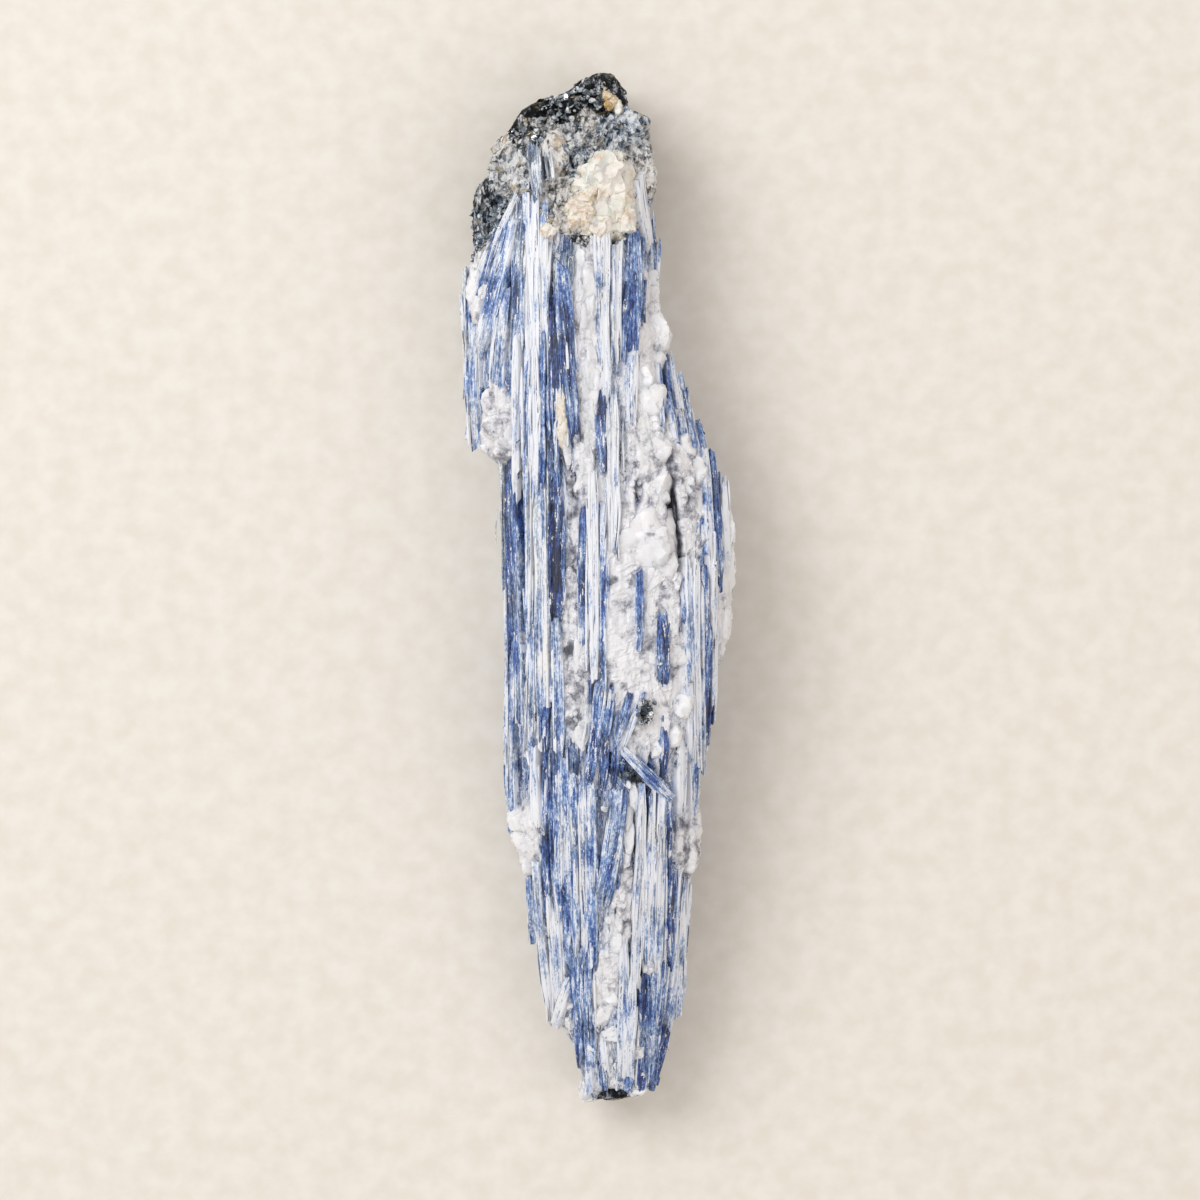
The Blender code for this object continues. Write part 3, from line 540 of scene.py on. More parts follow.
# Kyanite blades of the upper side: triclinic blades that grew side by side along the stone. Each is
# a flat prism with cleavage terraces, fine lengthwise striation and splintered oblique ends.
# Rows: upper end x, y, lower end x, y, width, height above the skin, blue tone, greyness.
BLADES = [
    (-19.9, 46.0, -19.3, 28.8, 1.3, 0.3, 0.5, 0.4), (-12.8, 56.6, -18.9, 43.5, 1.4, 0.5, 0.12, 0.1),
    (-18.4, 37.5, -18.1, 21.5, 1.8, 0.4, 0.35, 0.1), (-12.9, 54.0, -17.2, 36.8, 2.8, 1.1, 0.55, 0.0),
    (-13.7, 43.5, -14.8, 30.3, 1.7, 0.5, 0.3, 0.1), (-11.4, 56.3, -11.9, 36.8, 2.0, 0.8, 0.68, 0.4),
    (-11.9, 37.2, -11.9, 13.5, 1.2, 1.0, 0.05, 0.1), (-10.6, 57.6, -10.3, 36.0, 1.1, 0.6, 0.05, 0.1),
    (-9.3, 56.4, -9.1, 35.7, 1.2, 0.9, 0.08, 0.1), (-7.8, 55.2, -7.9, 37.5, 1.1, 0.4, 0.25, 0.2),
    (-4.5, 51.0, -4.7, 44.6, 2.1, 1.0, 0.68, 0.5), (-5.3, 45.4, -3.4, 22.5, 2.3, 1.3, 0.75, 0.0),
    (-6.7, 39.0, -6.5, 15.2, 2.2, -0.5, 0.86, 0.1), (-10.3, 36.8, -10.6, 14.7, 1.0, 0.2, 0.3, 0.1),
    (-9.3, 36.0, -9.4, 14.2, 1.1, 0.7, 0.05, 0.0), (-8.2, 36.8, -8.3, 15.0, 1.0, 0.3, 0.55, 0.0),
    (-0.2, 52.4, 0.3, 35.0, 1.4, 0.4, 0.3, 0.1), (1.2, 52.1, 1.1, 27.8, 1.3, 0.8, 0.15, 0.1),
    (0.6, 28.6, 0.6, 17.4, 1.5, 0.3, 0.83, 0.0), (2.3, 29.0, 2.4, 13.5, 1.8, 0.6, 0.08, 0.1),
    (2.9, 49.2, 2.9, 35.6, 1.4, 0.6, 0.03, 0.0), (5.0, 51.5, 4.9, 34.5, 2.7, 0.9, 0.64, 0.0),
    (4.9, 36.0, 4.9, 24.8, 2.0, 0.3, 0.2, 0.1), (6.2, 59.6, 7.5, 51.2, 2.2, 0.8, 0.05, 0.1),
    (8.0, 54.5, 8.1, 46.5, 1.5, 0.3, 0.55, 0.1), (8.9, 33.2, 9.3, 24.6, 0.9, 0.4, 0.44, 0.0),
    (9.8, 34.6, 11.3, 23.0, 1.1, 0.9, 0.55, 0.0), (10.9, 33.6, 12.5, 22.5, 1.0, 0.4, 0.1, 0.0),
    (12.0, 31.6, 13.7, 21.6, 1.1, 0.8, 0.55, 0.0), (13.3, 27.8, 14.7, 19.0, 1.2, 0.3, 0.2, 0.0),
    (14.8, 24.6, 15.9, 18.4, 1.3, 0.7, 0.5, 0.1), (15.6, 19.2, 16.5, 2.6, 1.4, 0.9, 0.02, 0.0),
    (17.0, 18.0, 17.9, 2.0, 1.3, 0.4, 0.75, 0.0), (18.4, 15.6, 19.0, 4.0, 1.3, 0.7, 0.02, 0.0),
    (15.1, 10.2, 14.8, 2.2, 2.0, -0.4, 0.66, 0.2), (-14.4, 18.0, -13.9, -0.5, 1.1, 0.2, 0.44, 0.8),
    (-12.7, 19.4, -12.0, -8.0, 3.1, 0.9, 0.75, 0.1), (-11.9, -7.0, -11.6, -18.0, 2.1, 0.3, 0.6, 0.1),
    (-13.1, -1.0, -13.1, -33.3, 1.2, 0.5, 0.5, 0.2), (-8.6, 16.0, -8.3, -16.8, 2.2, 0.6, 0.3, 0.4),
    (-10.2, 4.5, -10.0, -24.0, 1.2, 0.1, 0.5, 0.3), (-6.3, 15.8, -6.2, -4.8, 2.2, 1.0, 0.94, 0.0),
    (-6.2, -4.2, -6.0, -23.6, 1.2, 0.4, 0.5, 0.1), (-2.3, 10.8, -2.2, -8.4, 1.2, -0.1, 0.78, 0.1),
    (-0.8, 15.6, -0.7, -11.4, 1.6, 0.8, 0.05, 0.1), (0.6, 11.0, 0.6, -15.3, 1.0, 0.3, 0.5, 0.0),
    (2.0, 17.6, 2.1, 5.4, 2.1, 1.2, 0.02, 0.0), (5.9, 1.0, 5.9, -8.2, 1.3, 0.9, 0.55, 0.0),
    (9.3, -3.6, 9.5, -13.4, 1.8, 0.8, 0.68, 0.1), (13.0, 3.3, 13.6, -23.4, 1.2, 0.5, 0.25, 0.1),
    (14.3, 2.4, 14.7, -23.8, 1.1, 0.9, 0.1, 0.1), (15.5, 2.4, 15.9, -9.0, 1.1, 0.4, 0.75, 0.0),
    (17.0, 1.0, 17.0, -17.0, 1.4, 0.6, 0.02, 0.0), (16.0, -6.0, 15.8, -22.6, 1.6, 0.9, 0.82, 0.0),
    (1.1, -21.6, 2.1, -15.0, 1.3, 0.6, 0.5, 0.0), (2.6, -21.8, 4.6, -14.6, 1.3, 0.9, 0.65, 0.0),
    (4.2, -21.9, 6.4, -15.4, 1.2, 0.5, 0.5, 0.1), (0.1, -14.8, -1.6, -29.2, 1.6, 1.1, 0.75, 0.0),
    (9.3, -19.0, 9.4, -27.0, 1.6, 0.4, 0.78, 0.0), (-7.8, -16.4, -7.7, -27.0, 1.1, 0.0, 0.78, 0.0),
    (-3.8, -21.4, -3.6, -27.8, 1.4, 0.3, 0.78, 0.4), (4.1, -24.0, 10.2, -30.2, 2.0, 1.5, 0.47, 0.0),
    (-9.3, -24.4, -9.2, -33.8, 1.7, 0.8, 0.1, 0.0), (-7.7, -26.2, -7.5, -51.4, 1.2, 0.0, 0.7, 0.1),
    (-6.3, -23.2, -5.9, -47.6, 1.4, 0.5, 0.5, 0.15), (-5.0, -25.8, -4.7, -52.5, 1.2, 0.2, 0.52, 0.05),
    (-3.8, -27.2, -3.3, -52.8, 1.3, 0.7, 0.46, 0.15), (-2.5, -27.6, -2.1, -53.0, 1.2, 0.3, 0.38, 0.2),
    (-1.2, -29.0, -0.9, -55.0, 1.3, 0.6, 0.41, 0.0), (2.9, -30.8, 0.8, -45.4, 2.9, 1.0, 0.49, 0.1),
    (6.5, -31.4, 5.5, -57.0, 1.3, 0.7, 0.15, 0.1), (7.8, -31.2, 7.1, -57.4, 1.3, 0.3, 0.35, 0.0),
    (9.0, -31.8, 8.5, -57.2, 1.4, 0.8, 0.17, 0.1), (10.4, -30.8, 10.2, -44.0, 1.5, 0.0, 0.64, 0.0),
    (12.3, -22.4, 12.2, -34.0, 1.9, 0.6, 0.15, 0.2), (14.2, -22.4, 14.1, -33.0, 1.6, 0.3, 0.3, 0.2),
    (11.1, -41.0, 11.0, -56.0, 1.7, 0.4, 0.7, 0.1), (12.7, -43.0, 12.0, -62.0, 1.5, 0.7, 0.09, 0.0),
    (-10.4, -42.6, -9.8, -51.6, 1.5, 0.5, 0.5, 0.2), (-8.9, -43.4, -7.2, -64.2, 1.8, 0.7, 0.17, 0.2),
    (-6.4, -47.0, -5.6, -63.2, 1.5, 0.3, 0.3, 0.2), (-4.1, -57.8, -6.2, -65.0, 1.8, 1.4, 0.3, 0.1),
    (-3.3, -52.4, -2.8, -70.9, 1.5, 0.6, 0.6, 0.1), (-1.8, -53.2, -1.4, -71.6, 1.5, 0.2, 0.47, 0.1),
    (0.8, -66.6, 1.0, -71.2, 2.1, 1.1, 0.1, 0.1), (3.7, -54.0, 3.3, -72.0, 1.6, 0.4, 0.3, 0.1),
    (5.2, -56.4, 4.8, -72.4, 1.4, 0.8, 0.2, 0.1), (6.9, -56.8, 6.3, -73.8, 1.5, 0.3, 0.66, 0.1),
    (8.4, -57.0, 7.3, -74.2, 1.3, 0.7, 0.5, 0.1), (9.9, -55.6, 8.4, -73.0, 1.4, 0.4, 0.68, 0.1),
    (11.3, -56.2, 10.2, -65.6, 1.3, 0.8, 0.22, 0.1), (-1.4, -70.8, -1.4, -75.2, 1.6, 0.5, 0.22, 0.2),
    (0.6, -70.8, 0.6, -74.6, 1.7, 0.2, 0.64, 0.1), (2.6, -71.4, 2.6, -74.4, 1.6, 0.6, 0.17, 0.2),
    (4.6, -71.8, 4.6, -74.4, 1.5, 0.3, 0.6, 0.1), (-9.3, 64.8, -8.8, 58.8, 2.8, 2.4, 0.55, 0.75),
    (0.9, -22.4, 0.6, -29.4, 1.5, 0.5, 0.66, 0.2), (2.5, -22.8, 2.1, -28.4, 1.4, 0.9, 0.72, 0.1),
    (4.2, -23.6, 3.4, -27.0, 1.3, 0.6, 0.78, 0.1), (1.6, -26.4, 3.8, -30.0, 1.1, 0.8, 0.47, 0.1),
    (10.0, -66.2, 8.1, -74.0, 1.6, 1.0, 0.9, 0.0), (6.6, -61.6, 8.0, -66.4, 1.5, 0.8, 0.57, 0.2),
]
BLADE_DEPTH = 4.2
ALONG_STEP = 0.9
LOWEST_END = -76.2
SUNK_END_SHARE = 0.78
LIFT_SHARE = 0.5
CURVED_SHARE = 0.35


def facing(x, y):
    """Way straight out of the upper side, its sideways slope held under 1.1."""
    slope_x = np.clip((skin(x + 0.6, y) - skin(x - 0.6, y)) / 1.2, -1.1, 1.1)
    slope_y = np.clip((skin(x, y + 3.0) - skin(x, y - 3.0)) / 6.0, -0.5, 0.5)
    return unit(np.stack([-slope_x, -slope_y, np.ones_like(slope_x)], axis=-1))


def blade(line, out, width, depth, rng, tone, grey, points=13, fray=0.8, taper=(0.75, 0.7)):
    """Flat prism carried along a line: a bevelled section whose top is cut in terraces that begin and end
    at different places, scored lengthwise, and drawn out unevenly at both ends."""
    length = np.linalg.norm(line[-1] - line[0])
    run = unit(np.gradient(line, axis=0))
    side = unit(np.cross(run, out))
    up = np.cross(side, run)
    flat = np.linspace(0.86, -0.86, points)
    across = np.concatenate([[1.0, 1.0, 0.98], flat, [-0.98, -1.0, -1.0]])
    bevel = np.array([-depth, -0.5 * width, -0.09 * width])
    level = np.concatenate([bevel, 0.0 * flat, bevel[::-1]])
    top = (level > -0.2 * width).astype(float)
    travel = np.linspace(0.0, 1.0, len(line))[:, None]
    height = np.broadcast_to(level, (len(line), len(across))).copy()
    for _ in range(rng.integers(4, 9)):
        middle = rng.uniform(-0.95, 0.95)
        reach = rng.uniform(0.08, 0.4)
        from_end, to_end = np.sort(rng.uniform(-0.35, 1.35, 2))
        spots = np.stack([across * 3.0 / reach, 0 * across, 0 * across], axis=-1)
        ragged = 0.03 * grain(spots, 1.0, int(rng.integers(99)))
        there = np.abs(across - middle) < reach
        there = there & (travel > from_end + ragged) & (travel < to_end + ragged)
        height += rng.uniform(-0.28, 0.2) * min(width, 1.6) * 0.5 * there * top
    flat_place = [across * width * 0.5 + 0 * travel, travel * length + 0 * across, 0 * across * travel]
    score = np.stack(flat_place, axis=-1)
    seed = int(rng.integers(1000))
    height += 0.05 * grain(score, (0.22, 5.0, 1.0), seed) * top
    near = np.minimum(travel, 1.0 - travel) * length
    narrow = np.where(travel < 0.5, taper[0], taper[1])
    wide = narrow + (1.0 - narrow) * np.clip(near / (3.0 * width + 0.1), 0.0, 1.0)
    middle_line = np.stack([0 * travel, travel * length, 0 * travel], axis=-1)
    wander = 0.12 * width * grain(middle_line, (1.0, 7.0, 1.0), seed + 1)
    wide = wide * (1.0 + 0.1 * grain(score, (9.0, 4.0, 1.0), seed + 2))
    push = 0.5 * width * across * wide + wander
    edge_line = np.stack([across * width, 0 * across, 0 * across + 5.0], axis=-1)
    jag = grain(edge_line, (0.5, 1.0, 1.0), seed + 3)
    slants = rng.uniform(-0.7, 0.7, 2) * width * 0.5
    reach_out = fray * width ** 0.5 * 0.5 * jag
    shift = (slants[0] * across + reach_out) * (1.0 - travel) ** 6
    shift = shift + (slants[1] * across + reach_out) * travel ** 6
    place = line[:, None, :] + side[:, None, :] * push[..., None] + up[:, None, :] * height[..., None]
    place = place + run[:, None, :] * shift[..., None]
    vertices, quads, triangles = tube(place)
    label = rng.uniform(0.0, 90.0)
    shifted = [0.5 * width * across + 0 * travel + label, travel * length + 0 * across + 3.0 * label, height]
    coordinates = np.stack(shifted, axis=-1).reshape(-1, 3)
    rim = (np.abs(across) + 0 * travel).reshape(-1)
    ends = np.array([label, 3.0 * label, 0.0]), np.array([label, 3.0 * label + length, 0.0])
    values = {
        "streak": np.concatenate([coordinates, ends]),
        "rim": np.concatenate([rim, [0.5, 0.5]]),
        "tone": tone,
        "greyness": grey,
        "frost": rng.random() * (1.15 - tone),
    }
    return vertices, quads, triangles, values


def top_blade(x0, y0, x1, y1, width, lift, tone, grey, rng,
              points=13, step=ALONG_STEP, depth=BLADE_DEPTH, fray=0.8):
    """Blade laid on the upper side: its line is about a third a parabola and two thirds a straight line
    through the skin's heights, and most ends run on and dip under their neighbours."""
    length = np.hypot(x1 - x0, y1 - y0)
    more = rng.uniform(0.0, 0.18, 2) * min(length, 20.0) / length
    x0, x1 = x0 - (x1 - x0) * more[0], x1 + (x1 - x0) * more[1]
    y0, y1 = y0 - (y1 - y0) * more[0], max(y1 + (y1 - y0) * more[1], LOWEST_END)
    length = np.hypot(x1 - x0, y1 - y0)
    travel = np.linspace(0.0, 1.0, max(5, int(length / step)))
    x = x0 + (x1 - x0) * travel
    y = y0 + (y1 - y0) * travel
    bow = rng.uniform(-0.3, 0.3) * min(1.0, length / 20.0)
    x = x + bow * np.sin(np.pi * travel)
    z = skin(x, y)
    curved = np.polyval(np.polyfit(travel, z, 2), travel)
    straight = np.polyval(np.polyfit(travel, z, 1), travel)
    z = CURVED_SHARE * curved + (1.0 - CURVED_SHARE) * straight
    dips = np.where(rng.random(2) < SUNK_END_SHARE, rng.uniform(0.6, 1.6, 2), rng.uniform(0.0, 0.3, 2))
    runs = rng.uniform(2.0, 7.0, 2)
    z = z - dips[0] * np.clip(1.0 - travel * length / runs[0], 0.0, 1.0) ** 1.5
    z = z - dips[1] * np.clip(1.0 - (1.0 - travel) * length / runs[1], 0.0, 1.0) ** 1.5
    out = facing(x, y)
    out = unit(0.25 * out + 0.75 * out.mean(axis=0))
    line = np.stack([x, y, z], axis=-1) + out * (lift * LIFT_SHARE + 0.05)
    depth = depth * (1.0 - 0.35 * abs(out[:, 0].mean()))
    taper = rng.uniform(0.4, 0.95, 2)
    return blade(line, out, width, depth, rng, tone, grey, points, fray, taper)


def kyanite_finish():
    """Blue kyanite: streaked colour, a pearly sheen and a scored surface."""
    material, tree, shader = new_finish("kyanite_blue", IOR=1.6, Coat_Weight=0.12, Coat_Roughness=0.2)
    colour, score = kyanite_colour(tree)
    dress(tree, shader, colour, score, 0.22, 0.6, 1.6)
    relief(tree, shader, score, 0.6, 0.14)
    return material


kyanite_blue = kyanite_finish()
rng = np.random.default_rng(7)
blades = [top_blade(*row, rng) for row in BLADES]
piece("top_blades", blades, kyanite_blue)

# Splinters: thin cleavage slivers that lie along the blades and in the seams between them,
# most of them white; they are what makes the broken surface look fibrous.
SPLINTERS_PER_LENGTH = 0.42
rng = np.random.default_rng(19)
splinters = []
for x0, y0, x1, y1, width, lift, tone, grey in BLADES:
    for _ in range(int(np.hypot(x1 - x0, y1 - y0) * SPLINTERS_PER_LENGTH) + 1):
        share = np.sort(rng.uniform(-0.05, 1.05, 2))
        share[1] = max(share[1], share[0] + 0.12)
        aside = rng.uniform(-0.75, 0.75) * width
        thin = rng.uniform(0.16, 0.6)
        own_tone = float(np.clip(tone * rng.uniform(0.2, 1.1) + rng.uniform(-0.15, 0.2), 0.0, 0.95))
        ends = (x0 + (x1 - x0) * share[0] + aside, y0 + (y1 - y0) * share[0],
                x0 + (x1 - x0) * share[1] + aside + rng.uniform(-0.4, 0.4), y0 + (y1 - y0) * share[1])
        height = lift + rng.uniform(-0.5, 0.25)
        splinters.append(top_blade(*ends, thin, height, own_tone, grey, rng, 3, 1.8, 1.2, 1.6))
piece("splinters", splinters, kyanite_blue)

# Blades of the flanks and the underside: broader blades round the hidden sides, and the one whose
# flat cleavage face the stone rests on.
REST_PLAN = np.array([
    (-6.2, 44.0), (-4.4, 49.0), (-1.2, 46.5), (1.5, 52.0), (4.2, 45.0), (6.4, 44.0), (7.2, 8.0),
    (6.8, -24.0), (5.0, -43.0), (3.6, -46.0), (2.2, -42.5), (0.4, -53.0), (-2.2, -49.0), (-4.6, -50.5),
    (-6.4, -22.0), (-7.0, 12.0),
])
REST_POINTS = 220
UNDER_CLEARANCE = 0.35
UNDER_ROWS = [
    (52.0, 18.0), (34.0, 4.0), (17.0, -14.0), (2.0, -30.0), (-13.0, -44.0), (-30.0, -62.0), (-42.0, -72.0),
]
UNDER_ANGLES = np.arange(-186.0, 8.0, 13.0)
rng = np.random.default_rng(23)
under = []
for y0, y1 in UNDER_ROWS:
    for degrees in UNDER_ANGLES:
        start = y0 + rng.uniform(-5.0, 5.0)
        end = y1 + rng.uniform(-5.0, 5.0)
        angle = np.radians(degrees + rng.uniform(-5.0, 5.0))
        y = np.linspace(start, end, int((start - end) / 1.3))
        line = ring(y, angle + 0 * y, 0.75)
        beside = ring(y, angle + 0.12 + 0 * y) - ring(y, angle - 0.12 + 0 * y)
        out = unit(np.stack([beside[:, 2], 0 * y, -beside[:, 0]], axis=-1))
        tone = float(np.clip(rng.normal(0.35, 0.28), 0.0, 0.95))
        made = blade(line, out, rng.uniform(2.2, 4.4), 2.6, rng, tone, rng.uniform(0.0, 0.5), 10)
        made[0][:, 2] = np.maximum(made[0][:, 2], UNDER_CLEARANCE)
        under.append(made)
levels = np.array([(0.0, 0.0), (0.25, 0.3), (0.7, 0.5), (4.0, 0.7)])
outline = np.concatenate([REST_PLAN, REST_PLAN[:1]])
reach = np.concatenate([[0.0], np.cumsum(np.linalg.norm(np.diff(outline, axis=0), axis=1))])
spots = np.linspace(0.0, reach[-1], REST_POINTS, endpoint=False)
plan = np.stack([np.interp(spots, reach, outline[:, 0]), np.interp(spots, reach, outline[:, 1])], axis=-1)
plan = np.broadcast_to(plan, (len(levels), REST_POINTS, 2)) + np.sign(plan) * levels[:, 1, None, None]
height = np.broadcast_to(levels[:, 0, None, None], (len(levels), REST_POINTS, 1))
rest = np.concatenate([plan, height], axis=-1)
vertices, quads, triangles = tube(rest)
under.append((vertices, quads, triangles, {
    "streak": vertices * (1.0, 1.0, 0.5), "rim": 0.3, "tone": 0.35, "greyness": 0.2, "frost": 0.5,
}))
piece("under_blades", under, kyanite_blue)

# Quartz: milky to grey vein quartz that grew into the room between the blades and holds them together.
# It breaks in lumps; narrow strips of it follow the seams, and crumbs lie scattered on top.
# Rows: x, y, half width, half length, height above the skin, greyness.
LUMPS = [
    (-18.0, 45.4, 1.9, 3.6, 0.4, 0.1), (-17.2, 41.0, 1.5, 3.0, 0.4, 0.15), (-15.4, 27.3, 2.4, 2.6, 0.6, 0.1),
    (-14.6, 24.4, 2.5, 2.3, 0.7, 0.1), (-16.2, 21.0, 1.8, 1.6, 0.3, 0.5), (-14.0, 20.4, 1.8, 1.8, 0.4, 0.6),
    (7.9, 46.2, 1.5, 1.6, 0.3, 0.15), (8.0, 43.8, 1.8, 1.6, 0.5, 0.1), (8.8, 41.0, 1.8, 1.9, 0.5, 0.15),
    (8.7, 38.4, 2.8, 4.2, 0.7, 0.2), (8.3, 34.4, 2.3, 2.0, 0.4, 0.1), (6.6, 31.0, 1.9, 2.4, 0.4, 0.1),
    (7.7, 28.0, 2.6, 3.4, 0.8, 0.05), (8.2, 24.4, 2.0, 2.2, 0.5, 0.15), (6.6, 21.9, 2.0, 2.6, 0.3, 0.1),
    (8.5, 20.8, 2.6, 3.6, 0.8, 0.1), (6.0, 16.0, 2.5, 3.3, 0.3, 0.9), (8.8, 15.4, 2.4, 3.6, 0.7, 0.25),
    (9.0, 13.2, 1.5, 1.6, 0.3, 0.4), (11.4, 24.0, 1.5, 3.4, -1.2, 0.75), (11.8, 14.4, 1.7, 5.2, -1.6, 0.8),
    (13.0, 6.4, 1.7, 3.6, -1.7, 0.8), (12.9, 19.0, 1.9, 4.2, 0.0, 0.95), (13.2, 12.4, 2.2, 4.6, 0.1, 0.8),
    (14.4, 16.8, 2.1, 3.2, 0.5, 0.15), (14.8, 8.0, 1.9, 2.6, 0.1, 0.7), (18.9, 8.6, 1.5, 3.6, 0.2, 0.05),
    (19.2, 3.4, 1.3, 4.0, 0.1, 0.08), (18.4, -3.6, 1.4, 4.0, 0.1, 0.15), (17.9, -8.6, 1.2, 3.4, 0.0, 0.15),
    (6.8, 7.9, 4.6, 5.4, 1.2, 0.0), (9.2, 4.6, 2.6, 3.2, 0.8, 0.05), (4.4, 3.2, 2.6, 2.0, 0.5, 0.3),
    (3.2, -2.0, 2.0, 2.6, 0.1, 0.8), (8.2, 0.2, 2.4, 2.2, 0.3, 0.3), (10.9, 1.4, 1.6, 1.9, 0.3, 0.5),
    (6.0, -4.6, 2.4, 2.6, 0.4, 0.05), (9.9, -3.6, 2.2, 3.0, 0.3, 0.1), (4.6, -8.8, 2.6, 2.4, 0.4, 0.05),
    (2.2, -11.4, 1.5, 2.2, 0.3, 0.75), (8.6, -8.8, 2.4, 2.8, 0.4, 0.2), (11.9, -8.2, 1.7, 3.2, 0.2, 0.15),
    (5.8, -12.6, 2.2, 2.2, 0.4, 0.1), (9.2, -13.6, 1.8, 2.2, 0.4, 0.3), (12.2, -13.0, 2.2, 2.6, 0.4, 0.25),
    (11.8, -17.0, 2.2, 2.6, 0.4, 0.1), (10.6, -20.8, 2.0, 2.6, 0.3, 0.1), (13.2, -21.6, 1.8, 2.6, 0.2, 0.2),
    (-11.6, -34.0, 2.2, 2.0, 0.5, 0.1), (-11.0, -37.0, 2.3, 2.2, 0.5, 0.15),
    (-10.4, -40.6, 1.4, 2.0, 0.3, 0.25), (13.7, -35.2, 1.7, 3.2, 0.2, 0.65),
    (13.4, -39.8, 1.7, 3.0, 0.2, 0.7), (-4.0, -60.5, 1.2, 2.7, 0.4, 0.85), (0.9, -57.2, 1.9, 2.2, 0.5, 0.05),
    (1.7, -60.2, 1.8, 1.8, 0.4, 0.1), (-1.8, -75.6, 1.7, 1.4, 0.2, 0.15), (5.8, -74.4, 1.7, 1.5, 0.3, 0.2),
    (-1.0, -74.2, 1.5, 1.2, 0.3, 0.3), (3.9, -73.6, 1.2, 0.9, 0.2, 0.3), (-1.6, -76.0, 1.5, 1.3, -0.2, 0.35),
    (5.8, -75.2, 1.6, 1.3, -0.1, 0.4), (-2.2, -74.4, 1.5, 1.4, 0.1, 0.3), (1.3, -32.1, 1.1, 0.7, 0.5, 0.0),
    (8.4, -22.6, 1.6, 2.4, 0.3, 0.1), (0.7, -62.8, 1.9, 2.8, 0.7, 0.3), (2.6, -66.2, 2.4, 1.7, 0.5, 0.8),
    (5.4, -68.2, 1.8, 2.2, 0.5, 0.7), (6.6, -71.4, 1.7, 1.6, 0.4, 0.3), (-3.4, -64.4, 1.6, 1.5, 0.3, 1.0),
    (-0.7, -67.4, 1.2, 1.9, 0.3, 0.6), (7.6, -54.0, 1.5, 3.6, 0.5, 0.5), (9.4, -50.4, 1.0, 2.6, 0.4, 0.6),
]
# Strips as upper end x, y, lower end x, y, width, height above the skin, greyness
STRIPS = [
    (-2.4, 50.5, -2.3, 41.6, 2.4, 0.0, 0.25), (-1.6, 42.4, -1.6, 15.0, 2.9, 0.25, 0.1),
    (-6.2, 51.0, -6.3, 39.2, 1.4, 0.0, 0.8), (-5.0, 30.8, -4.7, 19.0, 1.5, 0.3, 0.35),
    (-3.9, 15.5, -3.8, -10.8, 2.2, -0.3, 0.75), (-2.3, -10.0, -2.2, -21.0, 3.0, 0.1, 0.1),
    (5.0, -30.8, 2.3, -54.4, 1.9, 0.1, 0.3),
]
STRIP_STEP = 2.6
CRUMBS = 90


def crumbled(points):
    """Sideways and upward shifts that all the lumps share, so that their edges are uneven and meet."""
    broad = [grain(points, 1.5, seed) for seed in (141, 142, 143)]
    fine = [grain(points, 0.6, seed) for seed in (144, 145, 146)]
    return np.stack(broad, axis=-1) + 0.5 * np.stack(fine, axis=-1)


def lump(centre, radii, seed, around=44, rows=24,
         roughness=1.1, power=3.0, facet=0.85, cut=0.7, steep=0.5, ragged=0.27):
    """Broken lump: a rounded box whose radius is the nearest of 14 random planes, the first nearly level,
    split again into facets and shifted by the shared crumbling, less so where the lump is thin. More rings
    lie on the upper side; the poles are single points."""
    rng = np.random.default_rng(seed)
    ways = unit(rng.normal(size=(14, 3)))
    ways[1:] = unit(ways[1:] * (1.0, 1.0, steep))
    ways[0] = unit(np.array([rng.uniform(-0.2, 0.2), rng.uniform(-0.12, 0.12), 1.0]))
    gaps = rng.uniform(cut, 1.05, 14)
    gaps[0] = rng.uniform(cut + 0.04, cut + 0.12)
    polar = np.pi * np.linspace(0.0, 1.0, rows)[1:-1, None] ** 1.35
    turn = np.linspace(0.0, 2.0 * np.pi, around, endpoint=False)[None, :]
    flat = np.sin(polar)
    way = np.stack([flat * np.cos(turn), flat * np.sin(turn), np.cos(polar) + 0 * turn], axis=-1)
    boxy = (np.abs(way) ** power).sum(axis=-1) ** (-1.0 / power)
    facets = way @ ways.T
    size = np.where(facets > 0.25, gaps / np.maximum(facets, 0.25), 2.0).min(axis=-1)
    place = way * np.minimum(size, boxy)[..., None] * np.array(radii)
    least = min(radii)
    rough = 0.09 * least * shards(place, max(0.8, facet * least), seed)[0]
    rough += 0.05 * least * grain(place, 0.4 * least, seed + 2) + 0.03 * grain(place, 0.4, seed + 3)
    place = place + way * (rough * roughness)[..., None] + np.array(centre)
    return tube(held(place + ragged * min(1.0, least / 3.0) * crumbled(place)))


def quartz_finish(name, warm):
    """Milky quartz: blocky white and grey, a little light passing under the surface, greasy gloss."""
    material, tree, shader = new_finish(
        name, IOR=1.54, Subsurface_Weight=0.4, Subsurface_Scale=0.0016, Coat_Weight=0.15, Coat_Roughness=0.1)
    shader.inputs["Subsurface Radius"].default_value = (1.0, 0.85, 0.75)
    colour, sugar = quartz_colour(tree, warm)
    dress(tree, shader, colour, sugar, 0.25, 0.7)
    relief(tree, shader, sugar, 0.3, 0.14)
    return material


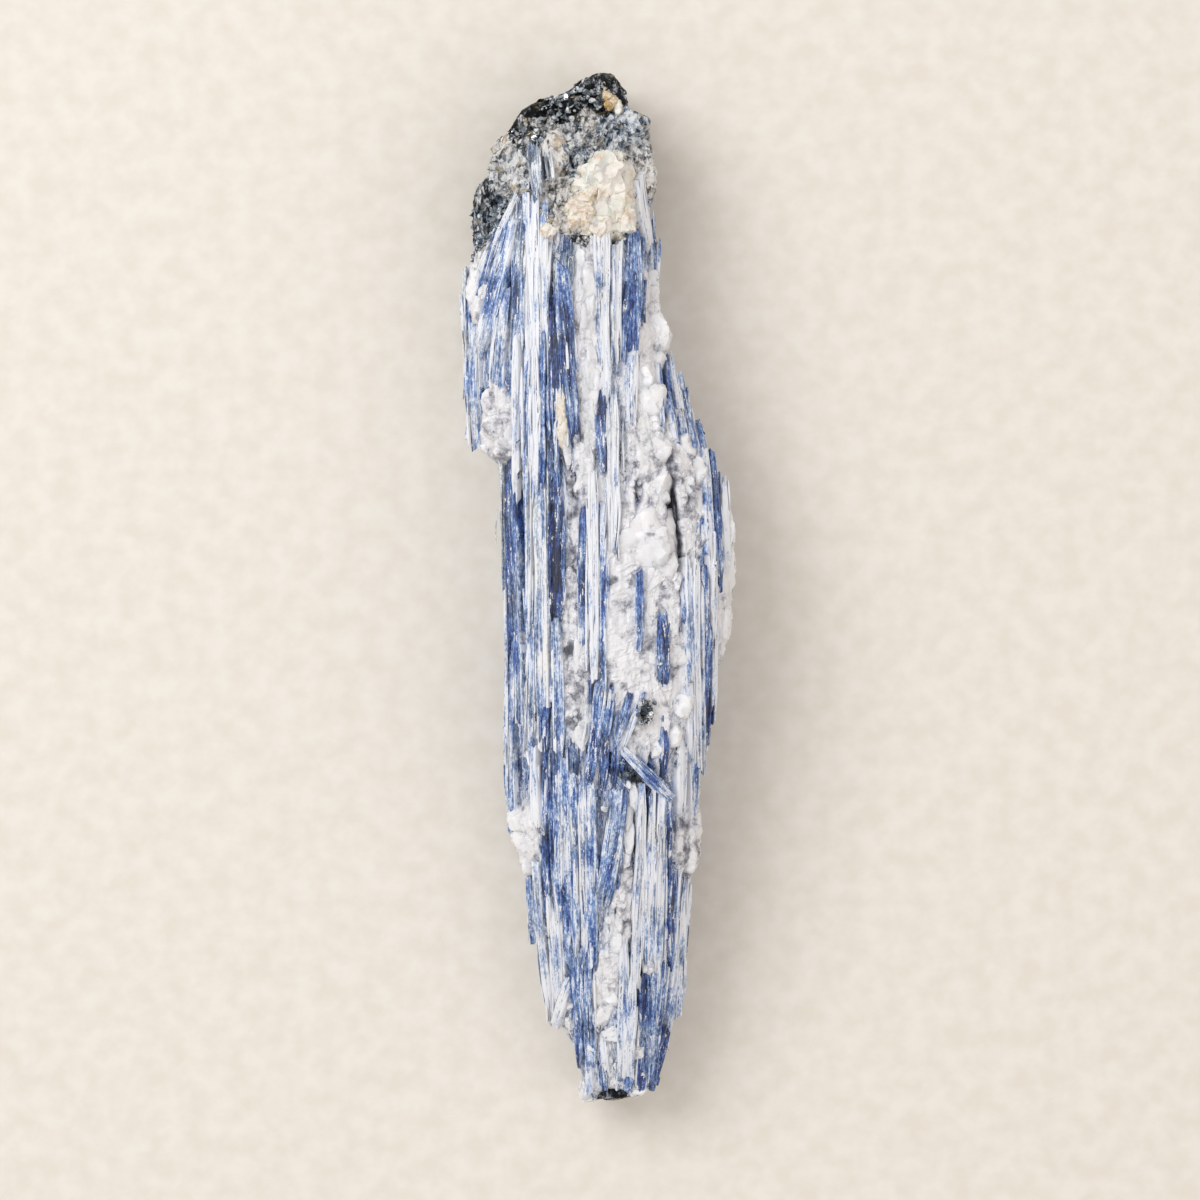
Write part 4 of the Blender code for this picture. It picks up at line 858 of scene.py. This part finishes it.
milky_quartz = quartz_finish("milky_quartz", 0.3)
quartz = []
for seed, (x, y, half_x, half_y, lift, grey) in enumerate(LUMPS):
    half_z = 2.6 + 0.5 * half_x
    top = skin(x, y)
    made = lump((x, y, top + lift - half_z), (half_x, half_y, half_z), seed + 1)
    quartz.append((*made, {"greyness": min(grey, 0.2 + 0.35 * grey)}))
rng = np.random.default_rng(31)
for x0, y0, x1, y1, width, lift, grey in STRIPS:
    length = np.hypot(x1 - x0, y1 - y0)
    for share in np.arange(0.0, 1.0, STRIP_STEP / length):
        x = x0 + (x1 - x0) * share + rng.uniform(-0.15, 0.15) * width
        y = y0 + (y1 - y0) * share
        half = 0.5 * width * rng.uniform(0.75, 1.1)
        top = skin(x, y) + lift + rng.uniform(-0.3, 0.2)
        radii = (half, half * rng.uniform(2.0, 4.4), 2.0)
        made = lump((x, y, top - 2.0), radii, int(rng.integers(900)) + 100, 28, 17)
        own_grey = np.clip(0.85 * grey + rng.uniform(-0.15, 0.2), 0.0, 1.0)
        quartz.append((*made, {"greyness": own_grey}))
for _ in range(CRUMBS):
    y = rng.uniform(-72.0, 50.0)
    x = rng.uniform(read(LEFT_EDGE, y) + 1.5, read(RIGHT_EDGE, y) - 1.5)
    half = rng.uniform(0.35, 0.9)
    top = skin(x, y) + rng.uniform(-0.7, 0.15)
    radii = (half, half * rng.uniform(1.0, 1.8), 1.2)
    made = lump((x, y, top - 1.2), radii, int(rng.integers(900)) + 1000, 12, 9)
    quartz.append((*made, {"greyness": rng.uniform(0.0, 0.5)}))
piece("quartz", quartz, milky_quartz, smooth=True, crease=0.38)

# Schist head: the dark mica schist that the blades grew out of, broken rough all round. A shell of rubble
# closes over the end of the body, with broken masses let into it and round its flanks.
# Rows: x, y, half width, half length, half height, height above the skin.
SCHIST_MASSES = [
    (0.6, 73.9, 4.1, 3.4, 5.0, 0.4), (-8.3, 70.3, 5.6, 3.3, 5.0, 0.3), (-12.6, 64.4, 3.8, 4.6, 6.0, 0.2),
    (-15.8, 57.0, 3.1, 6.2, 7.0, 0.0), (-9.0, 60.2, 5.6, 6.8, 8.0, 0.4), (4.9, 69.3, 3.0, 2.9, 5.0, 0.5),
    (-2.6, 51.4, 1.9, 1.3, 3.0, 0.5), (-4.0, 71.0, 2.8, 2.8, 5.0, 0.4), (-14.9, 66.2, 1.7, 1.9, 4.0, 0.2),
    (6.6, 65.0, 2.3, 2.2, 4.0, 0.6), (-6.6, 64.4, 2.8, 4.2, 5.0, 0.9), (7.1, 61.0, 1.9, 3.0, 4.0, 0.4),
    (7.0, -17.9, 1.4, 1.9, 3.0, 0.6), (2.6, -25.6, 2.6, 3.4, 4.0, -0.1), (2.2, -75.6, 2.2, 1.2, 2.4, -1.6),
]


def schist_finish():
    """Schist head: near-black mica, slate, grey-brown quartz and pale grain by the dark attribute, bluish
    where the bluish attribute says so, with short painted glints, thin ochre rust and a net of black lines
    painted as the shade in its cracks. Its clouds are stronger where it is darker."""
    material, tree, shader = new_finish("dark_schist", IOR=1.55, Specular_IOR_Level=0.15)
    place = object_mm(tree)
    stretched = object_mm(tree, (1.0, 0.45, 1.0))
    cloud = noise(tree, place, 0.7, 6.0, 0.7)
    grit = noise(tree, stretched, 3.0, 4.0, 0.7)
    # Painted glints: stretched cells, each a random shade lighter or darker, stand in for mica flakes
    # catching the light; the same cells also set the roughness.
    painted_glint_and_gloss = cell_pick(tree, stretched, 1.9)
    dark = value_of(tree, "dark")
    swing = sum_of(tree, 1.5, dark, 2.2, 0.0)
    clouded = node(tree, "Math", {0: sum_of(tree, -0.5, cloud, 1.0, 0.0), 1: swing}, operation="MULTIPLY")
    shade = total(tree, dark, (clouded.outputs[0], 1.0, 0.0), (grit, 1.6, -0.8), (painted_glint_and_gloss, 0.7, -0.38))
    grey = ramp(tree, shade, [
        (0.0, 0.82, 0.80, 0.78), (0.2, 0.60, 0.58, 0.57), (0.4, 0.33, 0.32, 0.315), (0.58, 0.14, 0.145, 0.15),
        (0.75, 0.032, 0.040, 0.042), (0.95, 0.003, 0.004, 0.005),
    ])
    slate = ramp(tree, shade, [
        (0.0, 0.76, 0.79, 0.82), (0.2, 0.46, 0.52, 0.60), (0.4, 0.22, 0.28, 0.37), (0.58, 0.10, 0.14, 0.20),
        (0.75, 0.03, 0.045, 0.07), (0.95, 0.006, 0.009, 0.014),
    ])
    colour = mix(tree, value_of(tree, "bluish"), grey, slate)
    rusty = between(tree, noise(tree, place, 0.45, 4.0), 0.6, 0.68, 0.0, 0.6)
    colour = mix(tree, rusty, colour, (0.46, 0.34, 0.15, 1.0))
    # Painted shade: a net of near-black lines, only where it is dark and wider the darker it is, stands in
    # for the shade in the cracks.
    edge = cell_edge(tree, bend(tree, place, 1.1, 3.0, 2.0), 0.55)
    edge = sum_of(tree, edge, dark, -0.16, 0.1)
    split = between(tree, edge, 0.045, 0.015, 0.0, 0.95)
    colour = mix(tree, split, colour, (0.004, 0.005, 0.006, 1.0))
    dress(tree, shader, colour, painted_glint_and_gloss, 0.2, 0.6)
    relief(tree, shader, sum_of(tree, cloud, grit, 0.7, 0.0), 0.8, 0.5)
    return material


# Minerals of the head seen from above: x, y, half width, half length, darkness, blueness
HEAD_ZONES = [
    (0.6, 74.4, 4.4, 3.0, 0.78, 0.3), (-5.2, 72.0, 3.0, 2.4, 0.9, 0.2), (-9.4, 71.6, 3.4, 1.8, 1.0, 0.0),
    (-12.7, 68.4, 1.6, 1.8, 0.9, 0.0), (-10.2, 68.2, 3.2, 2.2, 0.42, 0.1), (-14.8, 66.4, 1.9, 2.0, 0.15, 0.0),
    (-14.0, 61.8, 3.0, 2.8, 0.22, 0.4), (-17.2, 58.6, 2.2, 4.2, 0.62, 0.3), (-15.4, 54.8, 2.4, 4.8, 0.5, 0.8),
    (-18.6, 54.0, 1.2, 5.0, 0.6, 0.8), (-6.6, 64.2, 2.4, 3.8, 0.12, 0.0), (-3.6, 63.6, 2.3, 2.6, 0.36, 0.7),
    (-11.6, 59.0, 2.4, 3.8, 0.32, 0.3), (-9.0, 55.4, 3.0, 3.6, 0.2, 0.1), (0.9, 67.6, 2.4, 2.2, 0.36, 0.7),
    (-3.0, 67.2, 2.6, 2.0, 0.26, 0.4), (5.4, 69.6, 3.4, 2.2, 0.26, 0.9), (4.6, 66.8, 2.4, 1.6, 0.3, 0.9),
    (6.3, 65.2, 2.4, 2.0, 0.24, 0.2), (7.2, 61.8, 1.8, 2.2, 0.05, 0.0), (7.4, 57.8, 1.6, 2.6, 0.25, 0.0),
    (-1.8, 70.3, 1.3, 2.0, 0.3, 0.0), (-5.2, 52.9, 2.6, 2.4, 0.1, 0.0), (-2.4, 51.4, 1.6, 1.4, 0.62, 0.2),
    (0.0, 56.0, 5.0, 6.0, 0.2, 0.0), (7.0, -17.9, 2.0, 2.6, 0.6, 0.1), (2.9, -26.3, 3.2, 5.0, 0.5, 1.0),
    (2.2, -75.6, 3.0, 2.0, 0.75, 0.5),
]


def head_minerals(points):
    """Darkness and blueness at each point: those of the nearest zone, whose edges are ragged."""
    x = points[..., 0] + 0.7 * grain(points, 1.4, 12)
    y = points[..., 1] + 0.9 * grain(points, 1.8, 13)
    _, dark, bluish = nearest_zone(x, y, HEAD_ZONES, 0.5, 0.3)
    deep = np.clip((12.0 - points[..., 2]) / 6.0, 0.0, 1.0)
    dark = dark + (0.6 - dark) * deep
    bluish = bluish + (0.4 - bluish) * deep
    return {"dark": dark.ravel(), "bluish": bluish.ravel()}


HEAD_ROUND = (200, 60)
HEAD_RINGS = 116
HEAD_ENDS = (46.0, 76.9)
HEAD_INSET = 0.6
HEAD_CLEARANCE = 0.9
FLANK_MASS_PLACES = (72.0, 68.0, 64.0, 60.0, 55.0)
FLANK_MASS_ANGLES = (-170.0, -140.0, -110.0, -80.0, -50.0, -20.0, 4.0, 176.0)
dark_schist = schist_finish()
schist = []
for seed, (x, y, half_x, half_y, half_z, lift) in enumerate(SCHIST_MASSES):
    top = skin(x, y)
    centre = (x, y, top + lift - half_z)
    made = lump(centre, (half_x, half_y, half_z), seed + 40, 66, 36, 1.3, 2.3, 0.5, 0.78, 0.8, 0.4)
    schist.append((*made, head_minerals(made[0])))
rng = np.random.default_rng(5)
for y in FLANK_MASS_PLACES:
    for degrees in FLANK_MASS_ANGLES:
        spot = ring(np.array(y + rng.uniform(-1.5, 1.5)), np.radians(degrees + rng.uniform(-9.0, 9.0)), 3.3)
        size = rng.uniform(2.2, 3.6)
        spot[2] = max(spot[2], UNDER_CLEARANCE + 0.95 * size)
        made = lump(spot, (0.8 * size, 1.2 * size, 0.8 * size), int(rng.integers(900)), 26, 15, 1.2, 2.1)
        schist.append((*made, head_minerals(made[0])))
around = round_angles(*HEAD_ROUND)
y = np.linspace(*HEAD_ENDS, HEAD_RINGS)[:, None] + 0.0 * around
shell = ring(y, around + 0.0 * y, HEAD_INSET)
rubble = 1.1 * shards(shell, 3.0, 71)[0] + 0.6 * shards(shell, 1.3, 83)[0] + 0.3 * shards(shell, 0.6, 97)[0]
rubble += 0.15 * grain(shell, 0.4, 9) - 3.2 * np.clip(-head_side(shell) / 1.2, 0.0, 1.0)
pit = np.where(np.sin(around) > 0, sunk(shell[..., 0], y), 0.0)
shell = shell + outward(shell, y) * (rubble - 0.25)[..., None]
shell[..., 2] = np.maximum(shell[..., 2] - pit, HEAD_CLEARANCE)
made = tube(shell)
schist.append((*made, head_minerals(made[0])))
piece("schist_head", schist, dark_schist, smooth=True, crease=0.5)

# Feldspar: the big cream lump grown into the head, its neighbours, the small grains on the knob and one
# sliver among the blades, stained ochre where iron got in.
# Rows: x, y, half width, half length, half height, height above the skin, share of ochre
FELDSPAR = [
    (1.2, 59.0, 4.8, 6.2, 7.0, 2.3, 0.0), (-0.2, 61.6, 3.2, 3.2, 5.0, 1.5, 0.05),
    (-1.9, 56.0, 3.4, 4.2, 6.0, 1.5, 0.3), (2.6, 54.9, 3.2, 3.6, 5.5, 1.6, 0.0),
    (0.4, 53.6, 3.4, 2.4, 4.5, 1.2, 0.2), (-7.3, 52.8, 1.8, 1.8, 3.0, 0.9, 0.0),
    (1.3, 73.3, 0.8, 0.9, 2.0, 1.1, 0.5), (2.8, 71.9, 0.8, 1.0, 2.0, 1.2, 0.1),
    (-5.1, 25.6, 1.1, 5.0, 2.0, 1.0, 0.22), (0.8, 74.8, 0.5, 1.1, 2.0, 1.0, 0.6),
    (2.0, 72.5, 0.9, 1.0, 2.0, 1.1, 0.42), (1.5, 71.9, 0.7, 0.9, 2.0, 0.9, 0.6),
    (2.9, 71.0, 0.6, 0.7, 2.0, 0.9, 0.05),
]


def feldspar_finish():
    """Cream feldspar: dull, chalky white to faint pink, with tan and ochre stains."""
    material, tree, shader = new_finish(
        "cream_feldspar", IOR=1.52, Subsurface_Weight=0.15, Subsurface_Scale=0.001,
    )
    place = object_mm(tree)
    cloud = noise(tree, place, 0.35, 5.0)
    fine = noise(tree, place, 1.6, 6.0, 0.65)
    colour = ramp(tree, cloud, [
        (0.3, 0.76, 0.70, 0.66), (0.46, 0.86, 0.83, 0.78), (0.6, 0.85, 0.79, 0.71),
        (0.72, 0.60, 0.48, 0.34),
    ])
    tan = between(tree, fine, 0.42, 0.3, 0.0, 0.45)
    colour = mix(tree, tan, colour, (0.50, 0.42, 0.34, 1.0))
    iron = sum_of(tree, value_of(tree, "ochre"), fine, 1.6, -0.8)
    colour = mix(tree, between(tree, iron, 0.2, 0.7), colour, (0.52, 0.33, 0.09, 1.0))
    dress(tree, shader, colour, fine, 0.45, 0.8)
    relief(tree, shader, fine, 0.5, 0.3)
    return material


feldspar = []
for seed, (x, y, half_x, half_y, half_z, lift, ochre) in enumerate(FELDSPAR):
    top = skin(x, y)
    centre = (x, y, top + lift - half_z)
    made = lump(centre, (half_x, half_y, half_z), seed + 70, 66, 40, 1.3, 2.5, 0.42, 0.8, 0.8, 0.66)
    feldspar.append((*made, {"ochre": ochre}))
piece("feldspar", feldspar, feldspar_finish(), smooth=True, crease=0.5)

# Mica flakes: thin plates of mica with uneven corners, which stand in the schist at all angles and
# glitter, and a patch of them on the quartz.
FLAKE_TRIES = 900
LEAST_DARK = 0.4
PATCH_FLAKES = 60
BIOTITE_PATCH = (7.0, -17.9)


def flake(centre, normal, size, thickness, rng):
    """Thin plate between two parallel faces: seven corners, each at a random share of its size."""
    normal = unit(np.asarray(normal, float))
    side = unit(np.cross(normal, (0.3, 1.0, 0.2)))
    other = np.cross(normal, side)
    turn = np.linspace(0.0, 2.0 * np.pi, 7, endpoint=False)
    reach = size * rng.uniform(0.6, 1.0, 7)
    rim = side * (np.cos(turn) * reach)[:, None] + other * (np.sin(turn) * reach)[:, None]
    return tube(np.stack([rim + centre - normal * 0.5 * thickness, rim + centre + normal * 0.5 * thickness]))


def mica_finish():
    """Mica: steel-grey to silver plates with a metallic glitter."""
    material, tree, shader = new_finish("silver_mica", Metallic=0.35, Roughness=0.25, IOR=1.6)
    colour = ramp(tree, cell_pick(tree, object_mm(tree), 1.3), [
        (0.0, 0.03, 0.04, 0.05), (0.45, 0.14, 0.17, 0.21), (0.75, 0.4, 0.44, 0.48), (1.0, 0.8, 0.8, 0.8),
    ])
    tree.links.new(colour, shader.inputs["Base Color"])
    return material


rng = np.random.default_rng(61)
flakes = []
for _ in range(FLAKE_TRIES):
    y = rng.uniform(50.0, 76.0)
    x = rng.uniform(read(LEFT_EDGE, y) + 0.8, read(RIGHT_EDGE, y) - 0.8)
    spot = np.array([x, y, 20.0])
    if head_minerals(spot)["dark"][0] < LEAST_DARK or head_side(spot) < 0.3:
        continue
    top = skin(x, y) + rng.uniform(-0.5, 0.5)
    normal = facing(x, y) + rng.normal(0.0, 0.45, 3)
    flakes.append((*flake(np.array([x, y, top]), normal, rng.uniform(0.15, 0.65), 0.1, rng), {}))
for _ in range(PATCH_FLAKES):
    x = BIOTITE_PATCH[0] + rng.uniform(-1.3, 1.3)
    y = BIOTITE_PATCH[1] + rng.uniform(-1.9, 1.9)
    top = skin(x, y) + rng.uniform(0.3, 0.7)
    normal = rng.normal(size=3)
    flakes.append((*flake(np.array([x, y, top]), normal, rng.uniform(0.2, 0.6), 0.08, rng), {}))
piece("mica_flakes", flakes, mica_finish())

# Stage: pale plaster floor, a soft window light from the upper left and a soft fill.
FRAME_WIDTH = 0.180
PHOTO_CENTRE = (0.000075, -0.001565)
LENS = 120.0
SENSOR = 36.0
EDGE_HEIGHT = 0.011
FLOOR_REACH = 1.5


def plaster_finish():
    """Pale warm plaster with a faint grain."""
    material, tree, shader = new_finish("plaster", Roughness=0.9)
    cloud = noise(tree, object_mm(tree), 0.3, 5.0)
    colour = ramp(tree, cloud, [(0.35, 0.76, 0.71, 0.64), (0.65, 0.81, 0.77, 0.71)])
    tree.links.new(colour, shader.inputs["Base Color"])
    relief(tree, shader, cloud, 0.15, 0.3)
    return material


floor_mesh = bpy.data.meshes.new("floor")
corners = [(-FLOOR_REACH, -FLOOR_REACH, 0), (FLOOR_REACH, -FLOOR_REACH, 0),
           (FLOOR_REACH, FLOOR_REACH, 0), (-FLOOR_REACH, FLOOR_REACH, 0)]
floor_mesh.from_pydata(corners, [], [(0, 1, 2, 3)])
floor_mesh.materials.append(plaster_finish())
floor = put("floor", floor_mesh)


def soft_light(name, place, size, power, colour):
    """Square area light that looks at the stone's middle."""
    data = bpy.data.lights.new(name, "AREA")
    data.size = size
    data.energy = power
    data.color = colour
    made = put(name, data)
    made.location = place
    made.rotation_euler = (-made.location).to_track_quat("-Z", "Y").to_euler()


soft_light("window", (-0.55, 0.4, 0.75), 0.6, 5.3, (0.94, 0.975, 1.0))
soft_light("fill", (0.6, -0.3, 0.9), 0.9, 1.6, (1.0, 0.97, 0.95))
world = bpy.data.worlds.new("room")
bpy.context.scene.world = world
world.use_nodes = True
world.node_tree.nodes["Background"].inputs["Color"].default_value = (1.0, 0.95, 0.90, 1.0)
world.node_tree.nodes["Background"].inputs["Strength"].default_value = 0.69

camera_data = bpy.data.cameras.new("camera")
camera_data.lens = LENS
camera_data.sensor_width = SENSOR
camera = put("camera", camera_data)
camera.location = (*PHOTO_CENTRE, EDGE_HEIGHT + FRAME_WIDTH * LENS / SENSOR)
bpy.context.scene.camera = camera
bpy.context.scene.view_settings.view_transform = "Standard"
